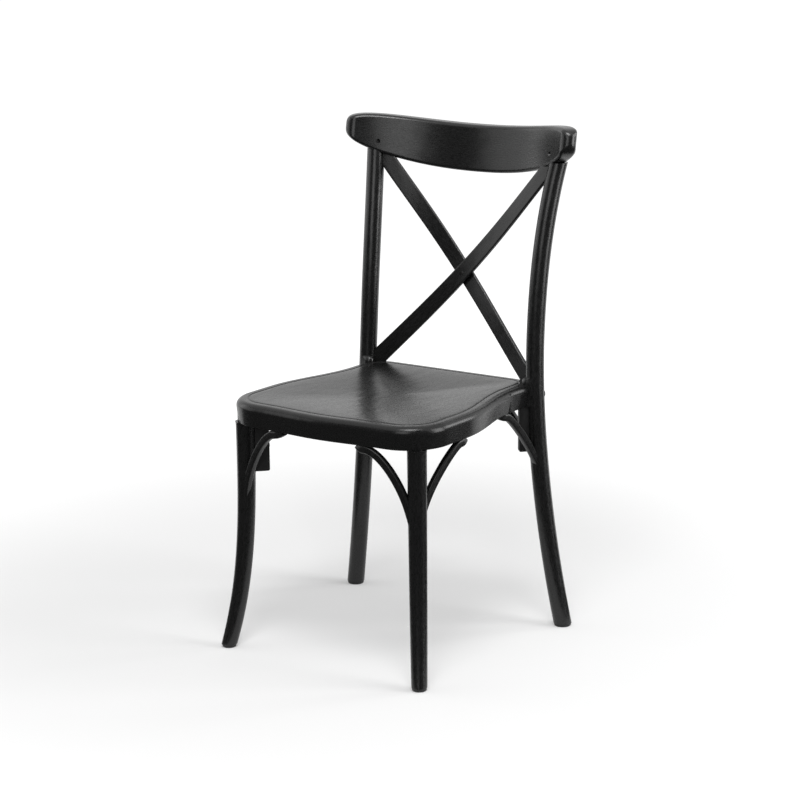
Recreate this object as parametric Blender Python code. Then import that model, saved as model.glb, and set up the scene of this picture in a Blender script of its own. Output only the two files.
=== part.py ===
"""Stackable cross-back patio chair in moulded resin, built piece by piece.

Metres, +Z up. The chair faces -Y, and +X is on the right seen from the front.
Everything is drawn about the middle of the seat and hangs from one empty, which
then brings the middle of the chair's footprint to x = y = 0.
"""

import math

import bmesh
import bpy
import numpy as np
from mathutils import Matrix, Vector

# Gap between two pieces that touch
CLEARANCE = 0.0003

# Seat
SEAT_HEIGHT = 0.439
SEAT_WIDTH = 0.420
SEAT_REAR_WIDTH = 0.354
SEAT_FRONT_REACH = 0.225
SEAT_REAR_REACH = 0.191
SEAT_FRONT_BOW = 0.009
SEAT_FRONT_CORNER = 0.077
SEAT_REAR_CORNER = 0.046
FLANK_FRONT_STRAIGHT = 0.060
FLANK_REAR_STRAIGHT = 0.039
SKIRT_DEPTH = 0.039
SKIRT_DRAFT = 0.0024
SEAT_EDGE_RADIUS = 0.012
SEAT_WALL = 0.004
SEAT_DISH = 0.009
GROOVE_INSET = 0.0205
GROOVE_WIDTH = 0.004
GROOVE_DEPTH = 0.0012
RIB_THICKNESS = 0.003
RIB_DEPTH = 0.012
RIB_SPACING = 0.085
RIB_OFFSET = 0.00006
SOCKET_WALL = 0.0045
BOLT_BLOCK_RADIUS = 0.013
SCREW_BOSS_RADIUS = 0.0058
BOSS_TOP_DROP = 0.0052

# Front legs
FRONT_LEG_SIDE_INSET = 0.0323
FRONT_LEG_FRONT_INSET = 0.0330
FRONT_LEG_RADIUS = 0.0164
FRONT_FOOT_RADIUS = 0.0131
FRONT_SPLAY_SIDE = 0.0235
FRONT_SPLAY_FORWARD = 0.0339
COLLAR_FLARE = 0.0012
COLLAR_HEIGHT = 0.005
TENON_RADIUS = 0.0085
TENON_LENGTH = 0.026

# Rear legs, each one piece with its back post
POST_RADIUS = 0.0158
POST_SIDE_OFFSET = 0.0001
POST_BACK_INSET = 0.0211
REAR_SPLAY_SIDE = 0.0505
REAR_SPLAY_BACK = 0.0175
POST_NARROWEST_RISE = 0.091
POST_FOREMOST_DROP = 0.069
POST_FLARE = 0.0149
POST_BACK_REACH = 0.0533
EAR_RADIUS = 0.0095
EAR_REACH = 0.014
EAR_RISE = 0.0105
SADDLE_DEPTH = 0.003
CREST_TENON_RADIUS = 0.0085
CREST_TENON_RISE = 0.045

# Crest rail
CREST_MID_HEIGHT = 0.8254
CREST_DEPTH = 0.0819
CREST_LENGTH = 0.4707
CREST_END_RISE = 0.0360
CREST_THICKNESS = 0.029
CREST_EDGE_RADIUS = 0.009
CREST_END_ROUNDING = 0.006
CREST_FORWARD_OFFSET = 0.0035
CREST_BEND_RADIUS = 0.3392
CREST_LEAN = 0.17
CREST_SCREW_INSET = 0.0060
CREST_SCREW_RISE = 0.0176

# Crossed slats
SLAT_LOW_WIDTH = 0.0303
SLAT_TOP_WIDTH = 0.0259
SLAT_THICKNESS = 0.007
SLAT_LOW_DROP = 0.015
SLAT_TOP_RISE = 0.0166
SLAT_SAG = 0.0107
SLAT_LOW_BOW = 0.0272
SLAT_TOP_BOW = 0.0443
SLAT_BOW_REACH = 0.188
CROSSING_GAP = 0.0012
TONGUE_DEPTH = 0.007
TONGUE_WIDTH = 0.014
TONGUE_THICKNESS = 0.004
TONGUE_TOP_SHIFT = 0.0038

# Arch braces
FRONT_BRACE_REACH = 0.090
FRONT_BRACE_DROP = 0.134
FRONT_BRACE_LEG_PULL = 0.046
FRONT_BRACE_SEAT_PULL = 0.033
FRONT_BRACE_TURN = 38.0
SIDE_BRACE_REACH = 0.094
SIDE_BRACE_DROP = 0.126
SIDE_BRACE_LEG_PULL = 0.041
SIDE_BRACE_SEAT_PULL = 0.012
SIDE_BRACE_TURN = 15.0
REAR_BRACE_REACH = 0.082
REAR_BRACE_DROP = 0.103
REAR_BRACE_LEG_PULL = 0.014
REAR_BRACE_SEAT_PULL = 0.016
REAR_BRACE_TURN = 8.0
BRACE_THICKNESS = 0.0135
BRACE_WIDTH = 0.0115
BRACE_CORNER_RADIUS = 0.003
BRACE_FOOT_STEP = 0.001
BRACE_SKIRT_INSET = 0.0085
PEG_RADIUS = 0.002
PEG_DEPTH = 0.007

# Stacking lugs
LUG_THICKNESS = 0.012
FRONT_LUG_REACH = 0.040
REAR_LUG_REACH = 0.031
FRONT_LUG_HEIGHT = 0.089
REAR_LUG_HEIGHT = 0.082
LUG_CORNER_RADIUS = 0.0025

# Foot glides
GLIDE_HEIGHT = 0.005
GLIDE_MARGIN = 0.0010
GLIDE_STEM_RADIUS = 0.0035
GLIDE_STEM_LENGTH = 0.012

# Screws and bolts
SCREW_HEAD_RADIUS = 0.0035
SCREW_HEAD_HEIGHT = 0.0022
SCREW_RADIUS = 0.0016
SCREW_SINK = 0.001
SCREW_BITE = 0.010
DIMPLE_DEPTH = 0.0015
HOLE_RUN_OUT = 0.004
DIMPLE_RUN_OUT = 0.006
BOLT_HEAD_RADIUS = 0.0050
BOLT_HEAD_HEIGHT = 0.0030
BOLT_RADIUS = 0.0022

# Facets round each kind of piece
POST_SIDES = 20
SCREW_SIDES = 8
PIN_SIDES = 8
GLIDE_SIDES = 16

# Shape of the curves: higher powers keep a leg straight longer and bend it later
FRONT_SABRE_POWER = 3.15
FRONT_TAPER_POWER = 0.6
REAR_SIDE_POWER = 1.85
REAR_BACK_POWER = 1.86
POST_FLARE_POWER = 2.45
POST_LEAN_POWER = 2.25
CREST_RISE_POWER = 2.12
CREST_END_POWER = 2.85
CREST_END_FULLNESS = 3.53
SLAT_BOW_POWER = 1.5

SKIRT_BOTTOM = SEAT_HEIGHT - SKIRT_DEPTH
SIDES = {"left": -1.0, "right": 1.0}
DIAGONAL = math.sqrt(0.5)


def clear_scene():
    for old in list(bpy.data.objects):
        bpy.data.objects.remove(old)


def finish(name, colour, roughness, metallic=0.0):
    """A plain material for one kind of piece."""
    material = bpy.data.materials.new(name)
    material.use_nodes = True
    shader = material.node_tree.nodes["Principled BSDF"]
    shader.inputs["Base Color"].default_value = (*colour, 1.0)
    shader.inputs["Roughness"].default_value = roughness
    shader.inputs["Metallic"].default_value = metallic
    return material


def skin(name, rings, start=None, end=None):
    """A closed skin over equal rings of points. A pole closes an end with a fan, else a flat face."""
    body = bmesh.new()
    loops = [[body.verts.new(point) for point in ring] for ring in rings]
    for low, high in zip(loops, loops[1:]):
        for i in range(len(low)):
            j = (i + 1) % len(low)
            body.faces.new((low[i], low[j], high[j], high[i]))
    for loop, pole in ((loops[0], start), (loops[-1], end)):
        if pole is None:
            body.faces.new(loop)
            continue
        tip = body.verts.new(pole)
        for i in range(len(loop)):
            body.faces.new((loop[i], loop[(i + 1) % len(loop)], tip))
    bmesh.ops.recalc_face_normals(body, faces=body.faces)
    mesh = bpy.data.meshes.new(name)
    body.to_mesh(mesh)
    body.free()
    return mesh


def place(name, mesh, at=(0.0, 0.0, 0.0)):
    """An object whose mesh stays where it was drawn, with its origin at the given point."""
    mesh.transform(Matrix.Translation(-Vector(at)))
    thing = bpy.data.objects.new(name, mesh)
    thing.location = at
    thing.parent = chair
    bpy.context.scene.collection.objects.link(thing)
    return thing


def piece(name, mesh, material, at=(0.0, 0.0, 0.0)):
    thing = place(name, mesh, at)
    mesh.materials.append(material)
    mesh.shade_smooth()
    mesh.set_sharp_from_angle(angle=math.radians(35))
    return thing


def helper(name, mesh):
    """A shape that only cuts or joins other pieces."""
    thing = place(name, mesh)
    thing.hide_render = True
    thing.display_type = "WIRE"
    return thing


def combine(thing, operation, helpers):
    """One Boolean that joins or cuts with several helper shapes."""
    group = bpy.data.collections.new(f"{thing.name} {operation.lower()} {len(thing.modifiers)}")
    for shape in helpers:
        group.objects.link(shape)
    modifier = thing.modifiers.new(operation.title(), "BOOLEAN")
    modifier.operation = operation
    modifier.operand_type = "COLLECTION"
    modifier.collection = group


def unit(vector):
    vector = np.asarray(vector, float)
    return vector / np.linalg.norm(vector)


def circle(radius, sides):
    turn = np.arange(sides) * 2 * math.pi / sides
    return radius * np.column_stack([np.cos(turn), np.sin(turn)])


def rounded_rectangle(half_across, half_up, radius, steps):
    """A plan loop with four arcs for corners."""
    corners = []
    for k, (sx, sy) in enumerate(((1, 1), (-1, 1), (-1, -1), (1, -1))):
        turn = math.pi / 2 * (k + np.arange(steps + 1) / steps)
        centre = np.array([sx * (half_across - radius), sy * (half_up - radius)])
        corners.append(centre + radius * np.column_stack([np.cos(turn), np.sin(turn)]))
    return np.vstack(corners)


def turned(name, profile, sides, start, direction):
    """A solid turned about a line, from (distance along it, radius) pairs."""
    axis = unit(direction)
    across = unit(np.cross(axis, (0.3, 0.2, 1.0) if abs(axis[2]) < 0.9 else (1.0, 0.0, 0.0)))
    frame = np.array([across, np.cross(axis, across)])
    rings = [
        np.asarray(start) + along * axis + circle(radius, sides) @ frame
        for along, radius in profile
    ]
    return skin(name, rings)


def loop_normals(loop):
    along = np.roll(loop, -1, axis=0) - np.roll(loop, 1, axis=0)
    outward = np.column_stack([along[:, 1], -along[:, 0]])
    return outward / np.linalg.norm(outward, axis=1)[:, None]


def inset(loop, distance):
    return loop - distance * loop_normals(loop)


# Seat plan

def seat_half():
    """Right half of the seat's plan, from the front middle to the rear middle."""
    corner_x = SEAT_WIDTH / 2 - SEAT_FRONT_CORNER
    corner_y = SEAT_FRONT_CORNER - SEAT_FRONT_REACH
    rear_x = SEAT_REAR_WIDTH / 2 - SEAT_REAR_CORNER
    rear_y = SEAT_REAR_REACH - SEAT_REAR_CORNER
    x = np.linspace(0, corner_x, 6)[:-1]
    bow = SEAT_FRONT_BOW * (1 + np.cos(math.pi * x / corner_x)) / 2
    front = np.column_stack([x, -SEAT_FRONT_REACH - bow])
    turn = np.linspace(-math.pi / 2, 0, 8)
    corner = np.column_stack([np.cos(turn), np.sin(turn)]) * SEAT_FRONT_CORNER + (corner_x, corner_y)
    share = np.linspace(0, 1, 8)
    start = corner_y + FLANK_FRONT_STRAIGHT
    stop = rear_y - FLANK_REAR_STRAIGHT
    narrowing = (SEAT_WIDTH - SEAT_REAR_WIDTH) / 2 * (1 - np.cos(math.pi * share)) / 2
    flank = np.column_stack([SEAT_WIDTH / 2 - narrowing, start + share * (stop - start)])
    turn = np.linspace(0, math.pi / 2, 7)
    rear = np.column_stack([np.cos(turn), np.sin(turn)]) * SEAT_REAR_CORNER + (rear_x, rear_y)
    x = np.linspace(rear_x, 0, 5)[1:]
    back = np.column_stack([x, np.full(len(x), SEAT_REAR_REACH)])
    return np.vstack([front, corner, flank, rear, back])


def seat_loop():
    half = seat_half()
    return np.vstack([half, half[-2:0:-1] * (-1, 1)])


def seat_top(points):
    """Height of the seat's top: flat at the border groove, dished towards the middle."""
    border = inset(seat_loop(), GROOVE_INSET + GROOVE_WIDTH / 2)
    bearing = np.arctan2(border[:, 1], border[:, 0])
    order = np.argsort(bearing)
    here = np.arctan2(points[:, 1], points[:, 0])
    reach = np.interp(here, bearing[order], np.hypot(*border.T)[order], period=2 * math.pi)
    share = np.minimum(np.hypot(*points.T) / reach, 1)
    return SEAT_HEIGHT - SEAT_DISH * (1 - share**2) ** 2


def at_height(loop, z):
    return np.column_stack([loop, np.broadcast_to(z, len(loop))])


def seat_shell():
    loop = seat_loop()
    border = inset(loop, GROOVE_INSET + GROOVE_WIDTH / 2)
    dish = [at_height(border * f, seat_top(border * f)) for f in (0.2, 0.42, 0.64, 0.84)]
    rings = dish + [
        at_height(border, SEAT_HEIGHT),
        at_height(inset(loop, GROOVE_INSET), SEAT_HEIGHT - GROOVE_DEPTH),
        at_height(inset(loop, GROOVE_INSET - GROOVE_WIDTH / 2), SEAT_HEIGHT),
    ]
    turns = np.linspace(math.pi / 2, 0, 5)
    for turn in turns:
        into = SEAT_EDGE_RADIUS * (1 - math.cos(turn))
        down = SEAT_EDGE_RADIUS * (1 - math.sin(turn))
        rings.append(at_height(inset(loop, into), SEAT_HEIGHT - down))
    rings.append(at_height(inset(loop, SKIRT_DRAFT), SKIRT_BOTTOM))
    rings.append(at_height(inset(loop, SKIRT_DRAFT + SEAT_WALL), SKIRT_BOTTOM))
    inner_radius = SEAT_EDGE_RADIUS - SEAT_WALL
    for turn in turns[::-1]:
        into = SEAT_EDGE_RADIUS - inner_radius * math.cos(turn)
        down = SEAT_EDGE_RADIUS - inner_radius * math.sin(turn)
        rings.append(at_height(inset(loop, into), SEAT_HEIGHT - down))
    rings.append(at_height(border, SEAT_HEIGHT - SEAT_WALL))
    rings += [ring - (0, 0, SEAT_WALL) for ring in (dish[3], dish[1])]
    low = SEAT_HEIGHT - SEAT_DISH
    return skin("seat", rings, start=(0, 0, low), end=(0, 0, low - SEAT_WALL))


def crossings(loop, axis, at):
    """Where the line along the other axis cuts a plan loop: its lowest and highest crossing."""
    here = loop[:, axis] - at
    after = np.roll(here, -1)
    hit = here * after < 0
    share = here[hit] / (here[hit] - after[hit])
    other = loop[:, 1 - axis]
    cut = other[hit] + share * (np.roll(other, -1)[hit] - other[hit])
    return cut.min(), cut.max()


def seat_ribs():
    """Two crossing sets of ribs that follow the dish from inside the plate."""
    ribs = []
    wall = inset(seat_loop(), SEAT_WALL / 2)
    bottom = SEAT_HEIGHT - SEAT_DISH - SEAT_WALL - RIB_DEPTH
    ease = SEAT_EDGE_RADIUS - SEAT_WALL / 2
    turns = np.linspace(0, math.pi / 2, 4)[:-1]
    ends, rise = ease * (1 - np.cos(turns)), ease * np.sin(turns)
    for axis in (0, 1):
        for step in (-1, 0, 1):
            at = step * RIB_SPACING + RIB_OFFSET
            low, high = crossings(wall, axis, at)
            run = np.concatenate([low + ends, np.linspace(low + ease, high - ease, 8), high - ends[::-1]])
            middle = np.zeros((len(run), 2))
            middle[:, axis] = at
            middle[:, 1 - axis] = run
            top = seat_top(middle) - SEAT_WALL / 2
            top[: len(rise)] = SEAT_HEIGHT - SEAT_EDGE_RADIUS + rise
            top[-len(rise) :] = top[: len(rise)][::-1]
            side = np.zeros(2)
            side[axis] = RIB_THICKNESS / 2
            rings = [
                [(*(m - side), bottom), (*(m + side), bottom), (*(m + side), t), (*(m - side), t)]
                for m, t in zip(middle, top)
            ]
            ribs.append(helper(f"rib {axis} {step}", skin("rib", rings)))
    return ribs


# Leg lines

def front_leg_top():
    x = SEAT_WIDTH / 2 - FRONT_LEG_SIDE_INSET
    return np.array([x, FRONT_LEG_FRONT_INSET - SEAT_FRONT_REACH])


def front_leg_line(z):
    """Plan point of the right front leg's middle at a height."""
    share = max(1 - z / SKIRT_BOTTOM, 0) ** FRONT_SABRE_POWER
    return front_leg_top() + share * np.array([FRONT_SPLAY_SIDE, -FRONT_SPLAY_FORWARD])


def crest_base():
    """Height of the crest's lower edge over the posts."""
    return crest_edges(SEAT_REAR_WIDTH / 2 + POST_SIDE_OFFSET + POST_FLARE)[0]


def rear_leg_line(z):
    """Plan point of the right rear leg's and post's middle at a height."""
    narrowest = SEAT_HEIGHT + POST_NARROWEST_RISE
    foremost = SEAT_HEIGHT - POST_FOREMOST_DROP
    x = SEAT_REAR_WIDTH / 2 + POST_SIDE_OFFSET
    if z < narrowest:
        x += REAR_SPLAY_SIDE * (1 - z / narrowest) ** REAR_SIDE_POWER
    else:
        rise = (z - narrowest) / (crest_base() - narrowest)
        x += POST_FLARE * rise**POST_FLARE_POWER
    y = SEAT_REAR_REACH - POST_BACK_INSET
    if z < foremost:
        y += REAR_SPLAY_BACK * (1 - z / foremost) ** REAR_BACK_POWER
    else:
        rise = (z - foremost) / (crest_base() - foremost)
        y += POST_BACK_REACH * rise**POST_LEAN_POWER
    return np.array([x, y])


def round_rings(line, heights, radii, side, sides):
    """Level cuts through a round bar that leans: each ring is the bar's true oblique section."""
    rings = []
    step = 0.002
    around = circle(1.0, sides)
    for z, radius in zip(heights, radii):
        lean = (line(z + step) - line(max(z - step, 0))) / (2 * step if z > step else z + step)
        tangent = unit([*lean, 1.0])
        stretch = 1 / np.sqrt(1 - (around @ tangent[:2]) ** 2)
        ring = line(z) + radius * stretch[:, None] * around
        rings.append(np.column_stack([ring[:, 0] * side, ring[:, 1], np.full(sides, z)]))
    return rings


def front_leg_radius(z):
    share = min(z / SKIRT_BOTTOM, 1) ** FRONT_TAPER_POWER
    return FRONT_FOOT_RADIUS + share * (FRONT_LEG_RADIUS - FRONT_FOOT_RADIUS)


def front_leg_mesh(side, grow=0.0):
    top = SKIRT_BOTTOM - CLEARANCE
    collar = top - COLLAR_HEIGHT
    heights = list(np.linspace(GLIDE_HEIGHT, collar, 15))
    radii = [front_leg_radius(z) for z in heights]
    heights += [top - COLLAR_HEIGHT * 0.3, top]
    radii += [FRONT_LEG_RADIUS + COLLAR_FLARE * 0.45, FRONT_LEG_RADIUS + COLLAR_FLARE]
    heights += [top, top + TENON_LENGTH]
    radii += [TENON_RADIUS, TENON_RADIUS]
    heights = np.array(heights)
    heights[0] -= grow
    heights[-3:] += grow
    radii = np.array(radii) + grow
    return skin("front leg", round_rings(front_leg_line, heights, radii, side, POST_SIDES))


def post_mesh(side, grow=0.0, top_rise=SADDLE_DEPTH):
    top = crest_base() + top_rise
    heights = np.concatenate(
        [np.linspace(GLIDE_HEIGHT, SEAT_HEIGHT, 12)[:-1], np.linspace(SEAT_HEIGHT, top, 12)]
    )
    heights[0] -= grow
    heights[-1] += grow
    radii = np.full(len(heights), POST_RADIUS + grow)
    return skin("rear leg", round_rings(rear_leg_line, heights, radii, side, POST_SIDES))


def crest_tenon_line(z):
    """The tenon leans with the crest, so it stays in the middle of the crest's thickness."""
    x = rear_leg_line(z)[0]
    return np.array([x, crest_middle(x, z)[0]])


def crest_tenon_mesh(side, grow=0.0):
    low = crest_base() - CREST_EDGE_RADIUS
    high = crest_base() + CREST_TENON_RISE + grow
    heights = np.linspace(low, high, 4)
    radii = np.full(4, CREST_TENON_RADIUS + grow)
    return skin("crest tenon", round_rings(crest_tenon_line, heights, radii, side, POST_SIDES))


def ear_place(side):
    """Middle of the ear that stands between the post and the seat's rear corner."""
    x, y = rear_leg_line(SEAT_HEIGHT)
    return np.array([side * (x - EAR_REACH * DIAGONAL), y - EAR_REACH * DIAGONAL, SKIRT_BOTTOM])


def ear_mesh(side, grow=0.0):
    height = SKIRT_DEPTH + EAR_RISE
    shoulder = height - EAR_RADIUS * 0.6
    profile = [
        (-grow, EAR_RADIUS + grow),
        (shoulder, EAR_RADIUS + grow),
        (shoulder + EAR_RADIUS * 0.35 + grow, EAR_RADIUS * 0.8 + grow),
        (height + grow, EAR_RADIUS * 0.4 + grow),
    ]
    return turned("ear", profile, POST_SIDES, ear_place(side), (0, 0, 1))


# Crest rail

def crest_edges(x):
    """Heights of the crest's lower and upper edge at a distance from the middle."""
    share = min(abs(x) / (CREST_LENGTH / 2), 1)
    middle = CREST_MID_HEIGHT + CREST_END_RISE * share**CREST_RISE_POWER
    half = CREST_DEPTH / 2 * (1 - share**CREST_END_POWER) ** (1 / CREST_END_FULLNESS)
    return middle - half, middle + half


def crest_middle(x, z):
    """Depth of the crest's middle surface, and its bearing, at a point of its outline."""
    post_x, post_y = rear_leg_line(crest_base())
    sag = CREST_BEND_RADIUS - math.sqrt(CREST_BEND_RADIUS**2 - x**2)
    post_sag = CREST_BEND_RADIUS - math.sqrt(CREST_BEND_RADIUS**2 - post_x**2)
    y = post_y - CREST_FORWARD_OFFSET + post_sag - sag + CREST_LEAN * (z - crest_base())
    return y, math.asin(x / CREST_BEND_RADIUS)


def crest_point(x, z, out):
    """A point of the crest at a distance behind its middle surface."""
    y, bearing = crest_middle(x, z)
    return np.array([x + out * math.sin(bearing), y + out * math.cos(bearing), z])


def crest_mesh(grow=0.0):
    half = CREST_LENGTH / 2
    turns = np.radians([-87.5, *np.linspace(-83, 83, 27), 87.5])
    rings = []
    for x in half * np.sin(turns):
        low, high = crest_edges(x)
        from_end = min((half - abs(x)) / CREST_END_ROUNDING, 1)
        thick = CREST_THICKNESS / 2 * (0.35 + 0.65 * math.sqrt(1 - (1 - from_end) ** 2)) + grow
        tall = (high - low) / 2 + grow
        radius = min(CREST_EDGE_RADIUS + grow, 0.98 * tall, 0.98 * thick)
        section = rounded_rectangle(thick, tall, radius, 4)
        spread = x * (half + grow) / half
        rings.append([crest_point(spread, (low + high) / 2 + up, out) for out, up in section])
    z = crest_edges(half)[0]
    return skin(
        "crest",
        rings,
        start=crest_point(-half - grow, z, 0),
        end=crest_point(half + grow, z, 0),
    )


# Crossed slats

def slat_ends():
    """Plan distance and height at which a slat's middle line meets the posts' middles."""
    low = SEAT_HEIGHT - SLAT_LOW_DROP
    top = crest_base() + SLAT_TOP_RISE
    return (rear_leg_line(low)[0], low), (rear_leg_line(top)[0], top)


def slat_sheet(x, z, layer=0):
    """Depth at a point of the bowed sheet that the slats follow; layer is -1 in front, 1 behind.

    The sheet bows back between the posts, more at the top than at the seat.
    """
    (_, low_z), (top_x, top_z) = slat_ends()
    share = min(abs(x) / top_x, 1)
    apart = (SLAT_THICKNESS + CROSSING_GAP) / 2 * (1 - share**4)
    deepest = SLAT_LOW_BOW + (SLAT_TOP_BOW - SLAT_LOW_BOW) * (z - low_z) / (top_z - low_z)
    bow = deepest * max(1 - (x / SLAT_BOW_REACH) ** 2, 0) ** SLAT_BOW_POWER
    return rear_leg_line(z)[1] + bow + layer * apart


def slat_share(x):
    (low_x, _), (top_x, _) = slat_ends()
    return (x + low_x) / (low_x + top_x)


def slat_line(share):
    """A point of a slat's middle line seen from the front: it sags a little below the straight."""
    (low_x, low_z), (top_x, top_z) = slat_ends()
    z = low_z + share * (top_z - low_z) - SLAT_SAG * 4 * share * (1 - share)
    return np.array([share * (low_x + top_x) - low_x, z])


def slat_strip(name, shares, widths, thickness, radius, layer, mirror, shift=0.0):
    """A strip along the line from the low left end to the high right end, lying in the sheet.

    A positive shift moves it towards the line's lower side.
    """
    (low_x, low_z), (top_x, top_z) = slat_ends()
    along = unit((low_x + top_x, top_z - low_z))
    across = np.array([along[1], -along[0]])
    step = 0.001
    rings = []
    for share, width in zip(shares, widths):
        x, z = slat_line(share)
        slope = np.array(
            [
                slat_sheet(x + step, z, layer) - slat_sheet(x - step, z, layer),
                slat_sheet(x, z + step, layer) - slat_sheet(x, z - step, layer),
            ]
        )
        out = unit((-slope[0], 2 * step, -slope[1]))
        ring = []
        for wide, thick in rounded_rectangle(width / 2, thickness / 2, radius, 2):
            px, pz = np.array([x, z]) + (wide + shift) * across
            ring.append((np.array([px, slat_sheet(px, pz, layer), pz]) + thick * out) * (mirror, 1, 1))
        rings.append(ring)
    return skin(name, rings)


def slat_mesh(layer, mirror):
    (low_x, _), (top_x, _) = slat_ends()
    inside = POST_RADIUS / 2
    shares = np.linspace(slat_share(inside - low_x), slat_share(top_x - inside), 17)
    widths = SLAT_LOW_WIDTH + shares * (SLAT_TOP_WIDTH - SLAT_LOW_WIDTH)
    return slat_strip("slat", shares, widths, SLAT_THICKNESS, SLAT_THICKNESS * 0.3, layer, mirror)


def tongue_mesh(layer, mirror, top, grow=0.0):
    """The slat's end inside a post, or the slot for it when grown."""
    (low_x, _), (top_x, _) = slat_ends()
    sign = 1 if top else -1
    axis_x = top_x if top else low_x
    ends = list(POST_RADIUS + np.linspace(TONGUE_WIDTH, -TONGUE_DEPTH, 6))
    if grow:
        ends.append(POST_RADIUS - TONGUE_DEPTH - grow)
    shares = [slat_share(sign * (axis_x - inside)) for inside in ends]
    widths = [TONGUE_WIDTH + 2 * grow] * len(shares)
    thickness = TONGUE_THICKNESS + 2 * grow
    shift = TONGUE_TOP_SHIFT if top else 0.0
    return slat_strip("tongue", shares, widths, thickness, TONGUE_THICKNESS * 0.3, layer, mirror, shift)


# Braces

def leg_at(row, z):
    return front_leg_line(z) if row == "front" else rear_leg_line(z)


def leg_radius_at(row, z):
    return front_leg_radius(z) if row == "front" else POST_RADIUS


def brace_sizes(row, way):
    """Reach, drop, the two pulls of the curve and the foot's turn for one kind of brace."""
    if row == "rear":
        turn = REAR_BRACE_TURN if way == "forward" else -REAR_BRACE_TURN
        return REAR_BRACE_REACH, REAR_BRACE_DROP, REAR_BRACE_LEG_PULL, REAR_BRACE_SEAT_PULL, turn
    if way == "forward":
        return (
            FRONT_BRACE_REACH,
            FRONT_BRACE_DROP,
            FRONT_BRACE_LEG_PULL,
            FRONT_BRACE_SEAT_PULL,
            FRONT_BRACE_TURN,
        )
    return SIDE_BRACE_REACH, SIDE_BRACE_DROP, SIDE_BRACE_LEG_PULL, SIDE_BRACE_SEAT_PULL, SIDE_BRACE_TURN


def brace_end(row, way, reach):
    """Plan point under the skirt, one reach along the seat's edge from the leg."""
    path = inset(seat_loop(), BRACE_SKIRT_INSET)[: len(seat_half())]
    away = np.hypot(*(path - leg_at(row, SKIRT_BOTTOM)).T)
    nearest = int(np.argmin(away))
    if way == "forward":
        part, distance = path[nearest::-1], away[nearest::-1]
    else:
        part, distance = path[nearest:], away[nearest:]
    part, distance = part[:14], distance[:14]
    return np.array([np.interp(reach, distance, part[:, k]) for k in (0, 1)])


def brace_curve(row, way):
    """Control points of the brace's middle line, its plan heading and the way its foot faces.

    It leaves the leg along the leg's line and arrives level under the skirt. Its foot starts
    inside the leg, so that the leg's own shape trims it to a tail.
    """
    reach, drop, leg_pull, seat_pull, turn = brace_sizes(row, way)
    end = brace_end(row, way, reach)
    foot_z = SKIRT_BOTTOM - drop
    toward = unit(end - leg_at(row, SKIRT_BOTTOM))
    turn = math.radians(turn)
    facing = np.array(
        [
            toward[0] * math.cos(turn) - toward[1] * math.sin(turn),
            toward[0] * math.sin(turn) + toward[1] * math.cos(turn),
        ]
    )
    off = (leg_radius_at(row, foot_z) + BRACE_FOOT_STEP - BRACE_THICKNESS / 2) * facing
    foot = np.array([*(leg_at(row, foot_z) + off), foot_z])
    lower = np.array([*(leg_at(row, foot_z + leg_pull) + off), foot_z + leg_pull])
    top = np.array([*end, SKIRT_BOTTOM - CLEARANCE - BRACE_THICKNESS / 2])
    heading = unit((top - foot)[:2])
    upper = top - seat_pull * np.array([*heading, 0])
    return (foot, lower, upper, top), heading, facing


def curve_point(points, t):
    foot, lower, upper, top = points
    return (1 - t) ** 3 * foot + 3 * (1 - t) ** 2 * t * lower + 3 * (1 - t) * t**2 * upper + t**3 * top


def brace_mesh(row, way, side, grow=0.0):
    points, heading, _ = brace_curve(row, way)
    across = np.array([-heading[1], heading[0], 0])
    thick, wide = BRACE_THICKNESS / 2 + grow, BRACE_WIDTH / 2 + grow
    section = rounded_rectangle(thick, wide, BRACE_CORNER_RADIUS, 1)
    rings = []
    step = 0.01
    for share in np.linspace(0, 1, 12):
        ahead = curve_point(points, min(share + step, 1)) - curve_point(points, max(share - step, 0))
        up = unit(np.cross(across, ahead))
        rings.append((curve_point(points, share) + section @ np.array([up, across])) * (side, 1, 1))
    return skin("brace", rings)


def peg_line(row, way, side):
    """Start and direction of the peg on a brace's foot, pointing into the leg."""
    points, _, facing = brace_curve(row, way)
    for share in np.linspace(0, 1, 101):
        start = curve_point(points, share)
        away = np.hypot(*(start[:2] - leg_at(row, start[2])))
        if away > leg_radius_at(row, start[2]) + PEG_RADIUS:
            break
    into = unit(leg_at(row, start[2]) - start[:2])
    return start * (side, 1, 1), np.array([into[0] * side, into[1], 0])


def peg_mesh(row, way, side, grow=0.0):
    start, into = peg_line(row, way, side)
    length = PEG_RADIUS + PEG_DEPTH + grow
    return turned("peg", [(0, PEG_RADIUS + grow), (length, PEG_RADIUS + grow)], PIN_SIDES, start, into)


def brace_screw_place(row, way, side):
    """Where a brace's screw enters from below, and how long its shank is."""
    points, heading, _ = brace_curve(row, way)
    back = points[3][:2] - heading * BRACE_WIDTH / 2
    z = SKIRT_BOTTOM - CLEARANCE - BRACE_THICKNESS + SCREW_SINK
    return np.array([side * back[0], back[1], z]), SKIRT_BOTTOM - z + SCREW_BITE


# Lugs, glides and screws

def inward(side, row):
    """Level direction from a leg towards the seat's middle."""
    return np.array([-side * DIAGONAL, DIAGONAL if row == "front" else -DIAGONAL, 0])


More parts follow.
